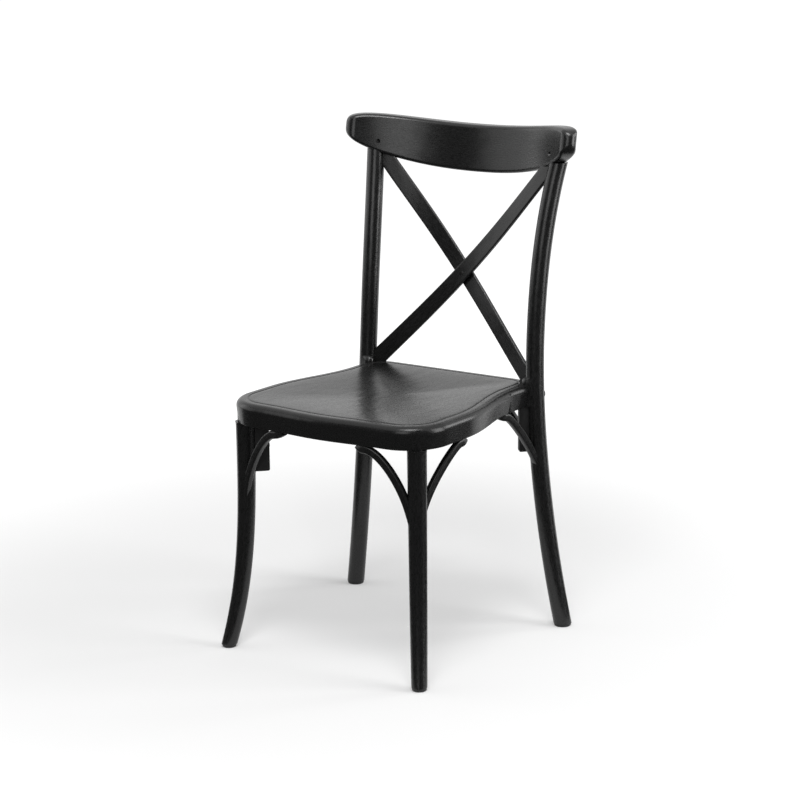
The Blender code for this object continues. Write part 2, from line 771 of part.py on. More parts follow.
def lug_mesh(row, side):
    reach = FRONT_LUG_REACH if row == "front" else REAR_LUG_REACH
    height = FRONT_LUG_HEIGHT if row == "front" else REAR_LUG_HEIGHT
    top = SKIRT_BOTTOM - CLEARANCE
    x, y = leg_at(row, top)
    into = inward(side, row)
    across = np.array([-into[1], into[0], 0])
    start = leg_radius_at(row, top) / 2
    middle = np.array([side * x, y, top - height / 2]) + into * (start + reach) / 2
    body = bmesh.new()
    bmesh.ops.create_cube(body, size=1.0)
    for vert in body.verts:
        along, wide, up = vert.co
        vert.co = Vector(
            middle + into * along * (reach - start) + across * wide * LUG_THICKNESS + np.array([0, 0, up * height])
        )
    far = [
        edge
        for edge in body.edges
        if all((np.array(v.co) - middle) @ into > 0 or v.co.z < middle[2] for v in edge.verts)
    ]
    body.normal_update()
    bmesh.ops.bevel(body, geom=far, offset=LUG_CORNER_RADIUS, segments=2, affect="EDGES", profile=0.5)
    bmesh.ops.recalc_face_normals(body, faces=body.faces)
    mesh = bpy.data.meshes.new("lug")
    body.to_mesh(mesh)
    body.free()
    return mesh


def lug_screw_place(row, side):
    reach = FRONT_LUG_REACH if row == "front" else REAR_LUG_REACH
    z = SKIRT_BOTTOM - (FRONT_LUG_HEIGHT if row == "front" else REAR_LUG_HEIGHT) / 2
    x, y = leg_at(row, SKIRT_BOTTOM)
    start = np.array([side * x, y, z]) + inward(side, row) * (reach - SCREW_SINK)
    length = reach - SCREW_SINK - leg_radius_at(row, z) + SCREW_BITE
    return start, -inward(side, row), length


def glide_mesh(row, side, grow=0.0):
    x, y = leg_at(row, GLIDE_HEIGHT)
    radius = leg_radius_at(row, 0) - GLIDE_MARGIN
    top = GLIDE_HEIGHT - CLEARANCE
    edge = GLIDE_HEIGHT * 0.4
    profile = [
        (0, radius - edge),
        (edge * 0.3, radius - edge * 0.3),
        (edge, radius),
        (top, radius),
        (top, GLIDE_STEM_RADIUS + grow),
        (GLIDE_HEIGHT + GLIDE_STEM_LENGTH + grow, GLIDE_STEM_RADIUS + grow),
    ]
    return turned("glide", profile, GLIDE_SIDES, (side * x, y, 0), (0, 0, 1))


def stem_mesh(row, side):
    x, y = leg_at(row, GLIDE_HEIGHT)
    radius = GLIDE_STEM_RADIUS + CLEARANCE
    profile = [(0, radius), (GLIDE_HEIGHT + GLIDE_STEM_LENGTH + CLEARANCE, radius)]
    return turned("stem hole", profile, GLIDE_SIDES, (side * x, y, 0), (0, 0, 1))


def screw_profile(length, head_radius, head_height, radius, grow=0.0, above=0.0):
    """Head behind the start point, shank ahead of it. Above lengthens a cutter past the surface."""
    return [
        (-head_height - grow - above, head_radius * 0.7 + grow if above == 0 else head_radius + grow),
        (-head_height * 0.5 - grow, head_radius + grow),
        (grow, head_radius + grow),
        (grow, radius + grow),
        (length + grow, radius + grow),
    ]


def add_screw(name, start, direction, length, material, bolt=False, above=0.0):
    """A screw and the cutter for its hole. The cutter is returned."""
    sizes = (BOLT_HEAD_RADIUS, BOLT_HEAD_HEIGHT, BOLT_RADIUS)
    if not bolt:
        sizes = (SCREW_HEAD_RADIUS, SCREW_HEAD_HEIGHT, SCREW_RADIUS)
    mesh = turned(name, screw_profile(length, *sizes), SCREW_SIDES, start, direction)
    piece(name, mesh, material, at=start)
    hole = screw_profile(length, *sizes, grow=CLEARANCE, above=above)
    return helper(f"{name} hole", turned("hole", hole, SCREW_SIDES, start, direction))


# The chair

clear_scene()
chair = bpy.data.objects.new("chair", None)
bpy.context.scene.collection.objects.link(chair)

black_resin = finish("black_resin", (0.018, 0.018, 0.019), 0.42)
matte_resin = finish("matte_resin", (0.012, 0.012, 0.012), 0.62)
glide_resin = finish("glide_resin", (0.010, 0.010, 0.010), 0.55)
black_steel = finish("black_steel", (0.03, 0.03, 0.03), 0.38, metallic=1.0)

WAYS = {"front": {"front": "forward", "side": "back"}, "rear": {"side": "forward", "rear": "back"}}
seat_cuts, seat_joins = [], seat_ribs()
leg_cuts = {(row, side): [] for row in WAYS for side in SIDES}
crest_holes, crest_sockets = [], []

# Envelopes are the pieces grown by the clearance; they cut the seats for their neighbours
crest_envelope = helper("crest envelope", crest_mesh(CLEARANCE))
seat_block = helper(
    "seat envelope",
    skin(
        "seat envelope",
        [at_height(inset(seat_loop(), -CLEARANCE), z) for z in (SKIRT_BOTTOM, SEAT_HEIGHT + CLEARANCE)],
    ),
)
post_envelopes = {side: helper(f"post envelope {side}", post_mesh(s, CLEARANCE)) for side, s in SIDES.items()}
slat_trims = [helper(f"slat trim {side}", post_mesh(s, CLEARANCE, CREST_TENON_RISE)) for side, s in SIDES.items()]
ear_envelopes = {side: helper(f"ear envelope {side}", ear_mesh(s, CLEARANCE)) for side, s in SIDES.items()}
front_envelopes = {
    side: helper(f"front leg envelope {side}", front_leg_mesh(s, CLEARANCE)) for side, s in SIDES.items()
}
leg_envelopes = {("front", side): shape for side, shape in front_envelopes.items()}
leg_envelopes |= {("rear", side): shape for side, shape in post_envelopes.items()}

# Braces, with their screws, bosses and peg holes
for row, ways in WAYS.items():
    for edge, way in ways.items():
        for side, s in SIDES.items():
            name = f"{row}_{edge}_brace_{side}" if row != edge else f"{row}_brace_{side}"
            start, length = brace_screw_place(row, way, s)
            brace = piece(name, brace_mesh(row, way, s), black_resin, at=start)
            combine(brace, "DIFFERENCE", [leg_envelopes[row, side]])
            combine(brace, "UNION", [helper(f"{name} peg", peg_mesh(row, way, s))])
            hole = add_screw(f"{name}_screw", start, (0, 0, 1), length, black_steel, above=HOLE_RUN_OUT)
            combine(brace, "DIFFERENCE", [hole])
            seat_cuts.append(hole)
            boss = [(0, SCREW_BOSS_RADIUS), (SKIRT_DEPTH - BOSS_TOP_DROP, SCREW_BOSS_RADIUS)]
            base = (start[0], start[1], SKIRT_BOTTOM)
            seat_joins.append(helper(f"{name} boss", turned("boss", boss, PIN_SIDES, base, (0, 0, 1))))
            leg_cuts[row, side].append(helper(f"{name} peg hole", peg_mesh(row, way, s, CLEARANCE)))

# Stacking lugs and foot glides
for row in WAYS:
    for side, s in SIDES.items():
        lug = piece(f"stacking_lug_{row}_{side}", lug_mesh(row, s), matte_resin)
        start, direction, length = lug_screw_place(row, s)
        hole = add_screw(f"lug_screw_{row}_{side}", start, direction, length, black_steel, above=HOLE_RUN_OUT)
        combine(lug, "DIFFERENCE", [leg_envelopes[row, side]])
        combine(lug, "DIFFERENCE", [hole])
        x, y = leg_at(row, GLIDE_HEIGHT)
        piece(f"foot_glide_{row}_{side}", glide_mesh(row, s), glide_resin, at=(s * x, y, 0))
        leg_cuts[row, side] += [hole, helper(f"stem hole {row} {side}", stem_mesh(row, s))]

# Front legs, each held in its socket by one screw
for side, s in SIDES.items():
    x, y = front_leg_top()
    socket_radius = TENON_RADIUS + SOCKET_WALL
    socket = [(0, socket_radius), (SKIRT_DEPTH - BOSS_TOP_DROP, socket_radius)]
    seat_joins.append(
        helper(f"socket {side}", turned("socket", socket, POST_SIDES, (s * x, y, SKIRT_BOTTOM), (0, 0, 1)))
    )
    into = inward(s, "front")
    start = np.array([s * x, y, SKIRT_BOTTOM + TENON_LENGTH / 2]) + into * (socket_radius - SCREW_SINK)
    length = socket_radius - SCREW_SINK + TENON_RADIUS * 0.6
    hole = add_screw(f"front_leg_screw_{side}", start, -into, length, black_steel, above=HOLE_RUN_OUT)
    seat_cuts += [hole, front_envelopes[side]]
    leg = piece(f"front_leg_{side}", front_leg_mesh(s), black_resin, at=(s * x, y, SKIRT_BOTTOM))
    combine(leg, "DIFFERENCE", leg_cuts["front", side] + [hole])

# Rear legs with their posts, each bolted through its ear into the seat's corner
for side, s in SIDES.items():
    x, y = rear_leg_line(SEAT_HEIGHT)
    into = inward(s, "rear")
    middle = np.array([s * x, y, SKIRT_BOTTOM + SKIRT_DEPTH / 2])
    block_at = EAR_REACH + EAR_RADIUS + BOLT_BLOCK_RADIUS / 2
    start = middle - into * (POST_RADIUS - SCREW_SINK)
    length = POST_RADIUS - SCREW_SINK + block_at + BOLT_BLOCK_RADIUS / 2
    hole = add_screw(f"rear_leg_bolt_{side}", start, into, length, black_steel, bolt=True, above=HOLE_RUN_OUT)
    block = [(0, BOLT_BLOCK_RADIUS), (SKIRT_DEPTH - BOSS_TOP_DROP, BOLT_BLOCK_RADIUS)]
    base = middle + into * block_at - (0, 0, SKIRT_DEPTH / 2)
    seat_joins.append(helper(f"bolt block {side}", turned("block", block, POST_SIDES, base, (0, 0, 1))))
    seat_cuts += [hole, post_envelopes[side], ear_envelopes[side]]
    leg_cuts["rear", side].append(hole)

    screw_z = crest_base() + CREST_SCREW_RISE
    post_x, post_y = crest_tenon_line(screw_z)
    target = np.array([s * post_x, post_y, screw_z])
    face = crest_point(s * (post_x - CREST_SCREW_INSET), screw_z, -CREST_THICKNESS / 2)
    aim = unit(target - face)
    start = face + aim * (DIMPLE_DEPTH + SCREW_HEAD_HEIGHT)
    length = np.linalg.norm(target - start) + CREST_TENON_RADIUS * 0.5
    hole = add_screw(f"crest_screw_{side}", start, aim, length, black_steel, above=DIMPLE_RUN_OUT)
    crest_holes.append(hole)
    crest_sockets.append(helper(f"crest socket {side}", crest_tenon_mesh(s, CLEARANCE)))
    leg_cuts["rear", side].append(hole)

    leg = piece(f"rear_leg_{side}", post_mesh(s), black_resin, at=(s * x, y, SEAT_HEIGHT))
    combine(leg, "DIFFERENCE", [crest_envelope])
    combine(
        leg,
        "UNION",
        [helper(f"crest tenon {side}", crest_tenon_mesh(s)), helper(f"ear {side}", ear_mesh(s))],
    )
    for name, layer, mirror in (("front", -1, 1), ("rear", 1, -1)):
        top = s * mirror > 0
        slot = tongue_mesh(layer, mirror, top, CLEARANCE)
        leg_cuts["rear", side].append(helper(f"{name} slat slot {side}", slot))
    combine(leg, "DIFFERENCE", leg_cuts["rear", side])

# Crest rail
crest = piece("crest_rail", crest_mesh(), black_resin, at=crest_point(0, CREST_MID_HEIGHT, 0))
combine(crest, "DIFFERENCE", crest_sockets)
combine(crest, "DIFFERENCE", crest_holes)

# Crossed slats, screwed together where they cross
cross_z = slat_line(slat_share(0))[1]
cross = np.array([0, slat_sheet(0, cross_z, -1), cross_z])
start = cross - (0, SLAT_THICKNESS / 2 - DIMPLE_DEPTH / 2 - SCREW_HEAD_HEIGHT, 0)
length = SLAT_THICKNESS * 1.5
crossing_hole = add_screw("crossing_screw", start, (0, 1, 0), length, black_steel, above=DIMPLE_RUN_OUT)
for name, layer, mirror in (("front", -1, 1), ("rear", 1, -1)):
    slat = piece(f"cross_slat_{name}", slat_mesh(layer, mirror), black_resin, at=cross)
    combine(slat, "DIFFERENCE", slat_trims)
    combine(slat, "DIFFERENCE", list(ear_envelopes.values()))
    tongues = [
        helper(f"{name} tongue {top}", tongue_mesh(layer, mirror, top)) for top in (False, True)
    ]
    combine(slat, "UNION", tongues)
    combine(slat, "DIFFERENCE", [seat_block, crest_envelope, crossing_hole])

# Seat
seat = piece("seat", seat_shell(), black_resin, at=(0, 0, SEAT_HEIGHT))
combine(seat, "UNION", seat_joins)
combine(seat, "DIFFERENCE", seat_cuts)

# The middle of the footprint goes to the world's origin
bpy.context.view_layer.update()
graph = bpy.context.evaluated_depsgraph_get()
corners = [
    (thing.matrix_world @ Vector(corner)).y
    for thing in chair.children
    if not thing.hide_render
    for corner in thing.evaluated_get(graph).bound_box
]
chair.location.y = -(min(corners) + max(corners)) / 2
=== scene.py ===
# %% [markdown]
# # A cross-back patio chair in black moulded resin
#
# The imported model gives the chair's measured solids, each at its real place. They have the right
# sizes, but they are faceted and plain. This script keeps every size and draws each moulding
# again as a smooth surface worked out with numpy, with its rolled edges, coves, grain and screws.
# The chair stands on a pale studio floor and is seen from the front right, a little from above.

# %% Tools and frame
import math

import bpy
import numpy as np
from mathutils import Matrix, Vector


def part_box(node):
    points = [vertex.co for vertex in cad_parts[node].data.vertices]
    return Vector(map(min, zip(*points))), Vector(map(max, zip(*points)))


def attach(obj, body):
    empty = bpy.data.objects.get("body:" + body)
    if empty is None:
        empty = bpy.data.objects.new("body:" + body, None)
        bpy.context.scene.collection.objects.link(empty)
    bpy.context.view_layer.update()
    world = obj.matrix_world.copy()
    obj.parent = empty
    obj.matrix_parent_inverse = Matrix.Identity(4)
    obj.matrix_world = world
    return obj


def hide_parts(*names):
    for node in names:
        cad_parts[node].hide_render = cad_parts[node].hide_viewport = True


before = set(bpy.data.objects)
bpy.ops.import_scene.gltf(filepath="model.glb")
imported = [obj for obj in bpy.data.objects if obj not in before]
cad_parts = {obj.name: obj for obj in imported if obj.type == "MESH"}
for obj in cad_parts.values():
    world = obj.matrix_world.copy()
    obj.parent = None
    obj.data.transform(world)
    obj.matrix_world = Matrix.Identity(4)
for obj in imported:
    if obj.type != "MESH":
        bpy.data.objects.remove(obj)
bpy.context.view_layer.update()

# %% [markdown]
# ## Where the seat lies
#
# All curves below are drawn about the middle of the seat, as a maker would lay them out. The
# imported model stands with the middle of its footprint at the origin, so one shift along Y takes
# the drawing to the model. It is read from the seat's own box, so the pieces cannot drift apart.

# %% Seat sizes and the shift
SEAT_REAR_REACH = 0.191
seat_low, seat_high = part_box("seat")
SHIFT = seat_high.y - SEAT_REAR_REACH
SEAT_HEIGHT = seat_high.z
SKIRT_BOTTOM = seat_low.z
SEAT_WIDTH = seat_high.x - seat_low.x
print(f"seat {SEAT_WIDTH:.3f} wide, top at {SEAT_HEIGHT:.3f}, shift {SHIFT:.4f}")

# %% [markdown]
# ## Camera
#
# A long lens far away keeps the legs nearly parallel, as in a catalogue picture. The heading is
# the turn from straight in front towards the viewer's right, the dip looks down on the seat, and
# the small roll is the camera's own tilt. Three unit vectors make the camera's axes: across, up,
# and back towards the camera. Left and right are the viewer's own throughout this script.

# %% Camera
PICTURE_WIDTH = 800
FOCAL_PIXELS = 2364.7
SENSOR_WIDTH = 36
HEADING, DIP, ROLL = 0.6116, 0.2348, -0.0120
EYE = np.array([2.2885, -3.2478, 1.3706])

level = np.array([math.cos(HEADING), math.sin(HEADING), 0])
ahead = np.array([-math.sin(HEADING) * math.cos(DIP), math.cos(HEADING) * math.cos(DIP), -math.sin(DIP)])
above = np.cross(level, ahead)
camera_right = math.cos(ROLL) * level + math.sin(ROLL) * above
camera_up = math.cos(ROLL) * above - math.sin(ROLL) * level

lens = bpy.data.cameras.new("studio_camera")
lens.sensor_width = SENSOR_WIDTH
lens.lens = FOCAL_PIXELS / PICTURE_WIDTH * SENSOR_WIDTH
camera = bpy.data.objects.new("studio_camera", lens)
pose = Matrix((camera_right, camera_up, -ahead)).transposed().to_4x4()
pose.translation = EYE + (0, SHIFT, 0)
camera.matrix_world = pose
bpy.context.scene.collection.objects.link(camera)
bpy.context.scene.camera = camera
print(f"lens {lens.lens:.1f} mm")

# %% [markdown]
# ## White room
#
# Black plastic shows its shape only by what it reflects. A white room gives the pale seat top at
# a grazing angle, and soft boxes in front give the long highlights. The world is white where the
# camera or a reflection sees it, and dimmer where it only fills the shadows. So the white behind
# the chair doesn't have to come from strong lamps.

# %% White room
bpy.context.scene.view_settings.view_transform = "Standard"


def seen_directly(nodes, links):
    """One for a ray from the camera or a mirror or glass ray, nought for a ray that only lights."""
    path = nodes.new("ShaderNodeLightPath")
    either = nodes.new("ShaderNodeMath")
    either.operation = "MAXIMUM"
    any_of = nodes.new("ShaderNodeMath")
    any_of.operation = "MAXIMUM"
    links.new(path.outputs["Is Camera Ray"], either.inputs[0])
    links.new(path.outputs["Is Glossy Ray"], either.inputs[1])
    links.new(either.outputs[0], any_of.inputs[0])
    links.new(path.outputs["Is Transmission Ray"], any_of.inputs[1])
    return any_of.outputs[0]


WORLD_FILL = 0.55
world = bpy.data.worlds.new("white_room")
world.use_nodes = True
bpy.context.scene.world = world
nodes, links = world.node_tree.nodes, world.node_tree.links
fill = nodes["Background"]
fill.inputs["Strength"].default_value = WORLD_FILL
fill.inputs["Color"].default_value = (1, 1, 1, 1)
white = nodes.new("ShaderNodeBackground")
white.inputs["Color"].default_value = (1, 1, 1, 1)
white.inputs["Strength"].default_value = 1.0
room = nodes.new("ShaderNodeMixShader")
links.new(seen_directly(nodes, links), room.inputs["Fac"])
links.new(fill.outputs[0], room.inputs[1])
links.new(white.outputs[0], room.inputs[2])
links.new(room.outputs[0], nodes["World Output"].inputs["Surface"])
print("world fill", WORLD_FILL)

# %% [markdown]
# ## Sheets for the studio
#
# The floor and the surround are plain sheets: rings of points, joined ring to ring. One helper
# makes both, and another lays out the rings. They belong to the studio, not to the chair.

# %% Sheets for the studio
ARC_STEPS = 96


def stage_sheet(name, rings_of_points, closed):
    """A sheet between rings of points. Four neighbours on two rings make a face, and in a closed
    sheet a ring's last point joins its first."""
    grid = np.asarray(rings_of_points, float)
    rows, columns = grid.shape[:2]
    index = np.arange(rows * columns).reshape(rows, columns)
    after = np.roll(index, -1, axis=1)
    quads = np.stack([index[:-1], after[:-1], after[1:], index[1:]], axis=-1)
    if not closed:
        quads = quads[:, :-1]
    mesh = bpy.data.meshes.new(name)
    mesh.from_pydata(grid.reshape(-1, 3).tolist(), [], quads.reshape(-1, 4).tolist())
    sheet = bpy.data.objects.new(name, mesh)
    bpy.context.scene.collection.objects.link(sheet)
    return sheet


def circle(radius, height, from_degrees=0.0, to_degrees=360.0):
    """Points radius x (cos a, sin a) of a level arc about the chair. A full circle leaves out its
    last point, which would lie on the first."""
    with_last = to_degrees - from_degrees < 360
    turn = np.radians(np.linspace(from_degrees, to_degrees, ARC_STEPS, endpoint=with_last))
    return np.column_stack([radius * np.cos(turn), radius * np.sin(turn), np.full(ARC_STEPS, height)])


# %% [markdown]
# ## Floor
#
# The floor is matt, so that it takes the chair's shadow, and glows a little, so that it stays
# white in the picture. The glow grows with the distance from the chair. Near the feet it is weak,
# so the real shadow shows, and the floor round the chair is also darker, which is a painted broad
# shade. Far out it is strong, and the floor melts into the white background.

# %% Floor
FLOOR_RINGS = (0.001, 0.6, 2, 8, 30.0)
FLOOR_GREY = 0.6
# the weaker glow near the chair paints a broad shade on the floor round it
GLOW_NEAR, GLOW_FAR = 0.2, 0.72
NEAR_REACH, FAR_REACH = 0.5, 2.2
floor = stage_sheet("studio_floor", [circle(radius, 0) for radius in FLOOR_RINGS], True)
floor_paint = bpy.data.materials.new("pale_floor")
floor_paint.use_nodes = True
nodes, links = floor_paint.node_tree.nodes, floor_paint.node_tree.links
nodes.clear()
matt = nodes.new("ShaderNodeBsdfDiffuse")
matt.inputs["Color"].default_value = (FLOOR_GREY, FLOOR_GREY, FLOOR_GREY, 1)
glow = nodes.new("ShaderNodeEmission")
place = nodes.new("ShaderNodeTexCoord")
distance = nodes.new("ShaderNodeVectorMath")
distance.operation = "LENGTH"
glow_here = nodes.new("ShaderNodeMapRange")
glow_here.interpolation_type = "SMOOTHSTEP"
glow_here.inputs["From Min"].default_value = NEAR_REACH
glow_here.inputs["From Max"].default_value = FAR_REACH
glow_here.inputs["To Min"].default_value = GLOW_NEAR
glow_here.inputs["To Max"].default_value = GLOW_FAR
links.new(place.outputs["Object"], distance.inputs[0])
links.new(distance.outputs["Value"], glow_here.inputs["Value"])
links.new(glow_here.outputs["Result"], glow.inputs["Strength"])
both = nodes.new("ShaderNodeAddShader")
seen = nodes.new("ShaderNodeMixShader")
output = nodes.new("ShaderNodeOutputMaterial")
links.new(matt.outputs[0], both.inputs[0])
links.new(glow.outputs[0], both.inputs[1])
links.new(seen_directly(nodes, links), seen.inputs["Fac"])
links.new(matt.outputs[0], seen.inputs[1])
links.new(both.outputs[0], seen.inputs[2])
links.new(seen.outputs[0], output.inputs["Surface"])
floor.data.materials.append(floor_paint)
print("floor reaches", FLOOR_RINGS[-1], "m")

# %% [markdown]
# ## Dark surround
#
# In a room that is white all round, black resin would look grey. So a photographer sets up black
# cloth in front of a dark product, out of the picture, and its reflection keeps the faces that
# look forward black. Here it is a dim sheet on the camera's side of the chair. Only reflections
# see it: it casts no shadow, and the camera looks through it.

# %% Dark surround
SURROUND_GREY = 0.08
FACING = math.degrees(HEADING) - 90
REACH_ROUND = 112.0
# radius and height of each ring, from beside the chair outwards and then up
SURROUND_RINGS = ((0.36, 0.004), (2.5, 0.004), (6.0, 0.004), (6.0, 2.0), (5.0, 4.5))
surround = stage_sheet(
    "dark_surround",
    [circle(radius, height, FACING - REACH_ROUND, FACING + REACH_ROUND) for radius, height in SURROUND_RINGS],
    False,
)
surround_paint = bpy.data.materials.new("dark_cloth")
surround_paint.use_nodes = True
nodes, links = surround_paint.node_tree.nodes, surround_paint.node_tree.links
nodes.clear()
cloth = nodes.new("ShaderNodeEmission")
cloth.inputs["Strength"].default_value = SURROUND_GREY
output = nodes.new("ShaderNodeOutputMaterial")
links.new(cloth.outputs[0], output.inputs["Surface"])
surround.data.materials.append(surround_paint)
surround.visible_camera = False
surround.visible_diffuse = False
surround.visible_shadow = False
surround.visible_transmission = False
print(f"surround spans {2 * REACH_ROUND:.0f} degrees")

# %% [markdown]
# ## Soft boxes
#
# The long soft highlights are reflections of soft boxes, and each box stands where its reflection
# is wanted. The crest mirrors the front box on its left third and the left box on its right half,
# and the gap between the two boxes leaves it dark in the middle. The right box draws the bright
# line down the right post. The high box and the corner box light the seat's front right corner.
# A lamp's energy here is radiance x pi x area, so a box keeps its brightness when it is resized.

# %% Soft boxes
# name: degrees to the right of the chair's front, degrees up, distance, width, height, radiance
SOFT_BOXES = {
    "soft_box_front": (18.0, 20.0, 3.6, 1.7, 1.8, 2.5),
    "soft_box_left": (-66.0, 16.0, 3.4, 3.2, 2.0, 1.3),
    "soft_box_right": (108.0, 14.0, 3.0, 1.4, 2.2, 6.0),
    "soft_box_high": (36.0, 62.0, 2.8, 1.0, 1.0, 13.0),
    "soft_box_corner": (140.0, 14.0, 3.0, 0.8, 1.2, 6.0),
}
AIM = np.array([0, 0, 0.6])
for name, (sideways, rise, distance, width, height, radiance) in SOFT_BOXES.items():
    light = bpy.data.lights.new(name, "AREA")
    light.shape = "RECTANGLE"
    light.size, light.size_y = width, height
    light.energy = radiance * math.pi * width * height
    lamp = bpy.data.objects.new(name, light)
    azimuth, rise = math.radians(sideways - 90), math.radians(rise)
    back = np.array([math.cos(rise) * math.cos(azimuth), math.cos(rise) * math.sin(azimuth), math.sin(rise)])
    side = np.cross((0.0, 0.0, 1.0), back)
    side /= np.linalg.norm(side)
    turn = Matrix((side, np.cross(back, side), back)).transposed().to_4x4()
    turn.translation = AIM + distance * back
    lamp.matrix_world = turn
    bpy.context.scene.collection.objects.link(lamp)
print("soft boxes:", len(SOFT_BOXES))

# %% [markdown]
# ## From a grid of points to a moulding
#
# Every moulding here is a closed skin: rings of points, one behind the other, like the hoops of a
# barrel. A whole grid of points is worked out at once, and this helper joins ring to ring and
# closes both ends. Each point also keeps its place in the straight, unbent piece. The grain
# follows that place, so it runs along a bent bar as it does on real bent wood.

# %% Skins and pieces


def unit(vectors):
    """Each vector divided by its own length."""
    vectors = np.asarray(vectors, float)
    return vectors / np.linalg.norm(vectors, axis=-1, keepdims=True)


def skin(grid, place):
    """A closed skin over a grid of points.

    Row r is a ring and joins row r + 1, and a ring's last point joins its first. The first and
    the last ring close to their own middle with a fan. Six times the volume is the sum over all
    triangles of a . (b x c); where that is negative, the faces look inwards and are turned over.
    """
    rows, columns = grid.shape[:2]
    index = np.arange(rows * columns).reshape(rows, columns)
    after = np.roll(index, -1, axis=1)
    quads = np.stack([index[:-1], after[:-1], after[1:], index[1:]], axis=-1).reshape(-1, 4)
    start = np.stack([after[0], index[0], np.full(columns, rows * columns)], axis=-1)
    end = np.stack([index[-1], after[-1], np.full(columns, rows * columns + 1)], axis=-1)
    fans = np.vstack([start, end])
    points = np.vstack([grid.reshape(-1, 3), grid[0].mean(axis=0), grid[-1].mean(axis=0)])
    places = np.vstack([place.reshape(-1, 3), place[0].mean(axis=0), place[-1].mean(axis=0)])
    corners = np.vstack([quads[:, :3], quads[:, [0, 2, 3]], fans])
    a, b, c = (points[corners[:, k]] for k in range(3))
    if np.einsum("ij,ij->", a, np.cross(b, c)) < 0:
        quads, fans = quads[:, ::-1], fans[:, ::-1]
    return points, places, quads, fans


CREASE_DEGREES = 38


def mesh_of(name, skins, crease=CREASE_DEGREES):
    """One mesh from several closed skins, with the unbent places as the attribute grain."""
    points, places, faces, count = [], [], [], 0
    for skin_points, skin_places, quads, fans in skins:
        points.append(skin_points)
        places.append(skin_places)
        faces += (quads + count).tolist() + (fans + count).tolist()
        count += len(skin_points)
    mesh = bpy.data.meshes.new(name)
    mesh.from_pydata((np.vstack(points) + (0, SHIFT, 0)).tolist(), [], faces)
    corner_point = np.zeros(len(mesh.loops), np.int32)
    mesh.loops.foreach_get("vertex_index", corner_point)
    grain = mesh.attributes.new("grain", "FLOAT_VECTOR", "CORNER")
    grain.data.foreach_set("vector", np.vstack(places)[corner_point].ravel())
    mesh.shade_smooth()
    mesh.set_sharp_from_angle(angle=math.radians(crease))
    return mesh


total_triangles = 0


def piece(name, mesh, finish, node):
    """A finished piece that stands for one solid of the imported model."""
    global total_triangles
    mesh.materials.clear()
    mesh.materials.append(finish)
    thing = bpy.data.objects.new(name, mesh)
    bpy.context.scene.collection.objects.link(thing)
    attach(thing, "root")
    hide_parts(node)
    total_triangles += sum(len(face.vertices) - 2 for face in mesh.polygons)
    return thing


def helper(name, skins):
    """A shape that only cuts other pieces. It is removed after the cut."""
    thing = bpy.data.objects.new(name, mesh_of(name, skins))
    bpy.context.scene.collection.objects.link(thing)
    return thing


def carve(name, mesh, cutters):
    """The mesh less the cutters, as a new mesh. The cutters are used up."""
    thing = bpy.data.objects.new(name, mesh)
    bpy.context.scene.collection.objects.link(thing)
    for cutter in cutters:
        cut = thing.modifiers.new("cut", "BOOLEAN")
        cut.operation = "DIFFERENCE"
        cut.solver = "EXACT"
        cut.object = cutter
    graph = bpy.context.evaluated_depsgraph_get()
    carved = bpy.data.meshes.new_from_object(thing.evaluated_get(graph), depsgraph=graph)
    bpy.data.objects.remove(thing)
    for cutter in cutters:
        bpy.data.objects.remove(cutter)
    carved.shade_smooth()
    carved.set_sharp_from_angle(angle=math.radians(CREASE_DEGREES))
    return carved


# %% [markdown]
# ## Black resin with a wood grain
#
# The real chair is moulded from through-coloured black polypropylene in a tool that was etched
# with a fine wood grain. So the colour hardly varies, and the grain shows in the gloss and as a
# very shallow relief. Noise that is squeezed across and stretched along the piece draws it. Three
# sizes are mixed: slow waves from the moulding, streaks of a few millimetres, and fine pores.

# %% Resin


def noise(nodes, links, source, scale, stretch, detail, offset=0.0):
    """Noise that is `scale` times finer than a metre, and longer along the grain by 1 / stretch."""
    mapping = nodes.new("ShaderNodeMapping")
    mapping.inputs["Scale"].default_value = (1, 1, stretch)
    mapping.inputs["Location"].default_value = (offset, offset, offset)
    links.new(source, mapping.inputs["Vector"])
    texture = nodes.new("ShaderNodeTexNoise")
    texture.inputs["Scale"].default_value = scale
    texture.inputs["Detail"].default_value = detail
    links.new(mapping.outputs[0], texture.inputs["Vector"])
    return texture.outputs["Fac"]


def relief(nodes, links, height, depth, strength, normal=None):
    """A bump of the given depth in metres, on top of an earlier one."""
    bump = nodes.new("ShaderNodeBump")
    bump.inputs["Strength"].default_value = strength
    bump.inputs["Distance"].default_value = depth
    links.new(height, bump.inputs["Height"])
    if normal:
        links.new(normal, bump.inputs["Normal"])
    return bump.outputs["Normal"]


def spread(nodes, links, value, low, high):
    """The middle of a noise's range, from 0.3 to 0.7, taken to low and high."""
    remap = nodes.new("ShaderNodeMapRange")
    remap.inputs["From Min"].default_value = 0.3
    remap.inputs["From Max"].default_value = 0.7
    remap.inputs["To Min"].default_value = low
    remap.inputs["To Max"].default_value = high
    links.new(value, remap.inputs["Value"])
    return remap.outputs[0]


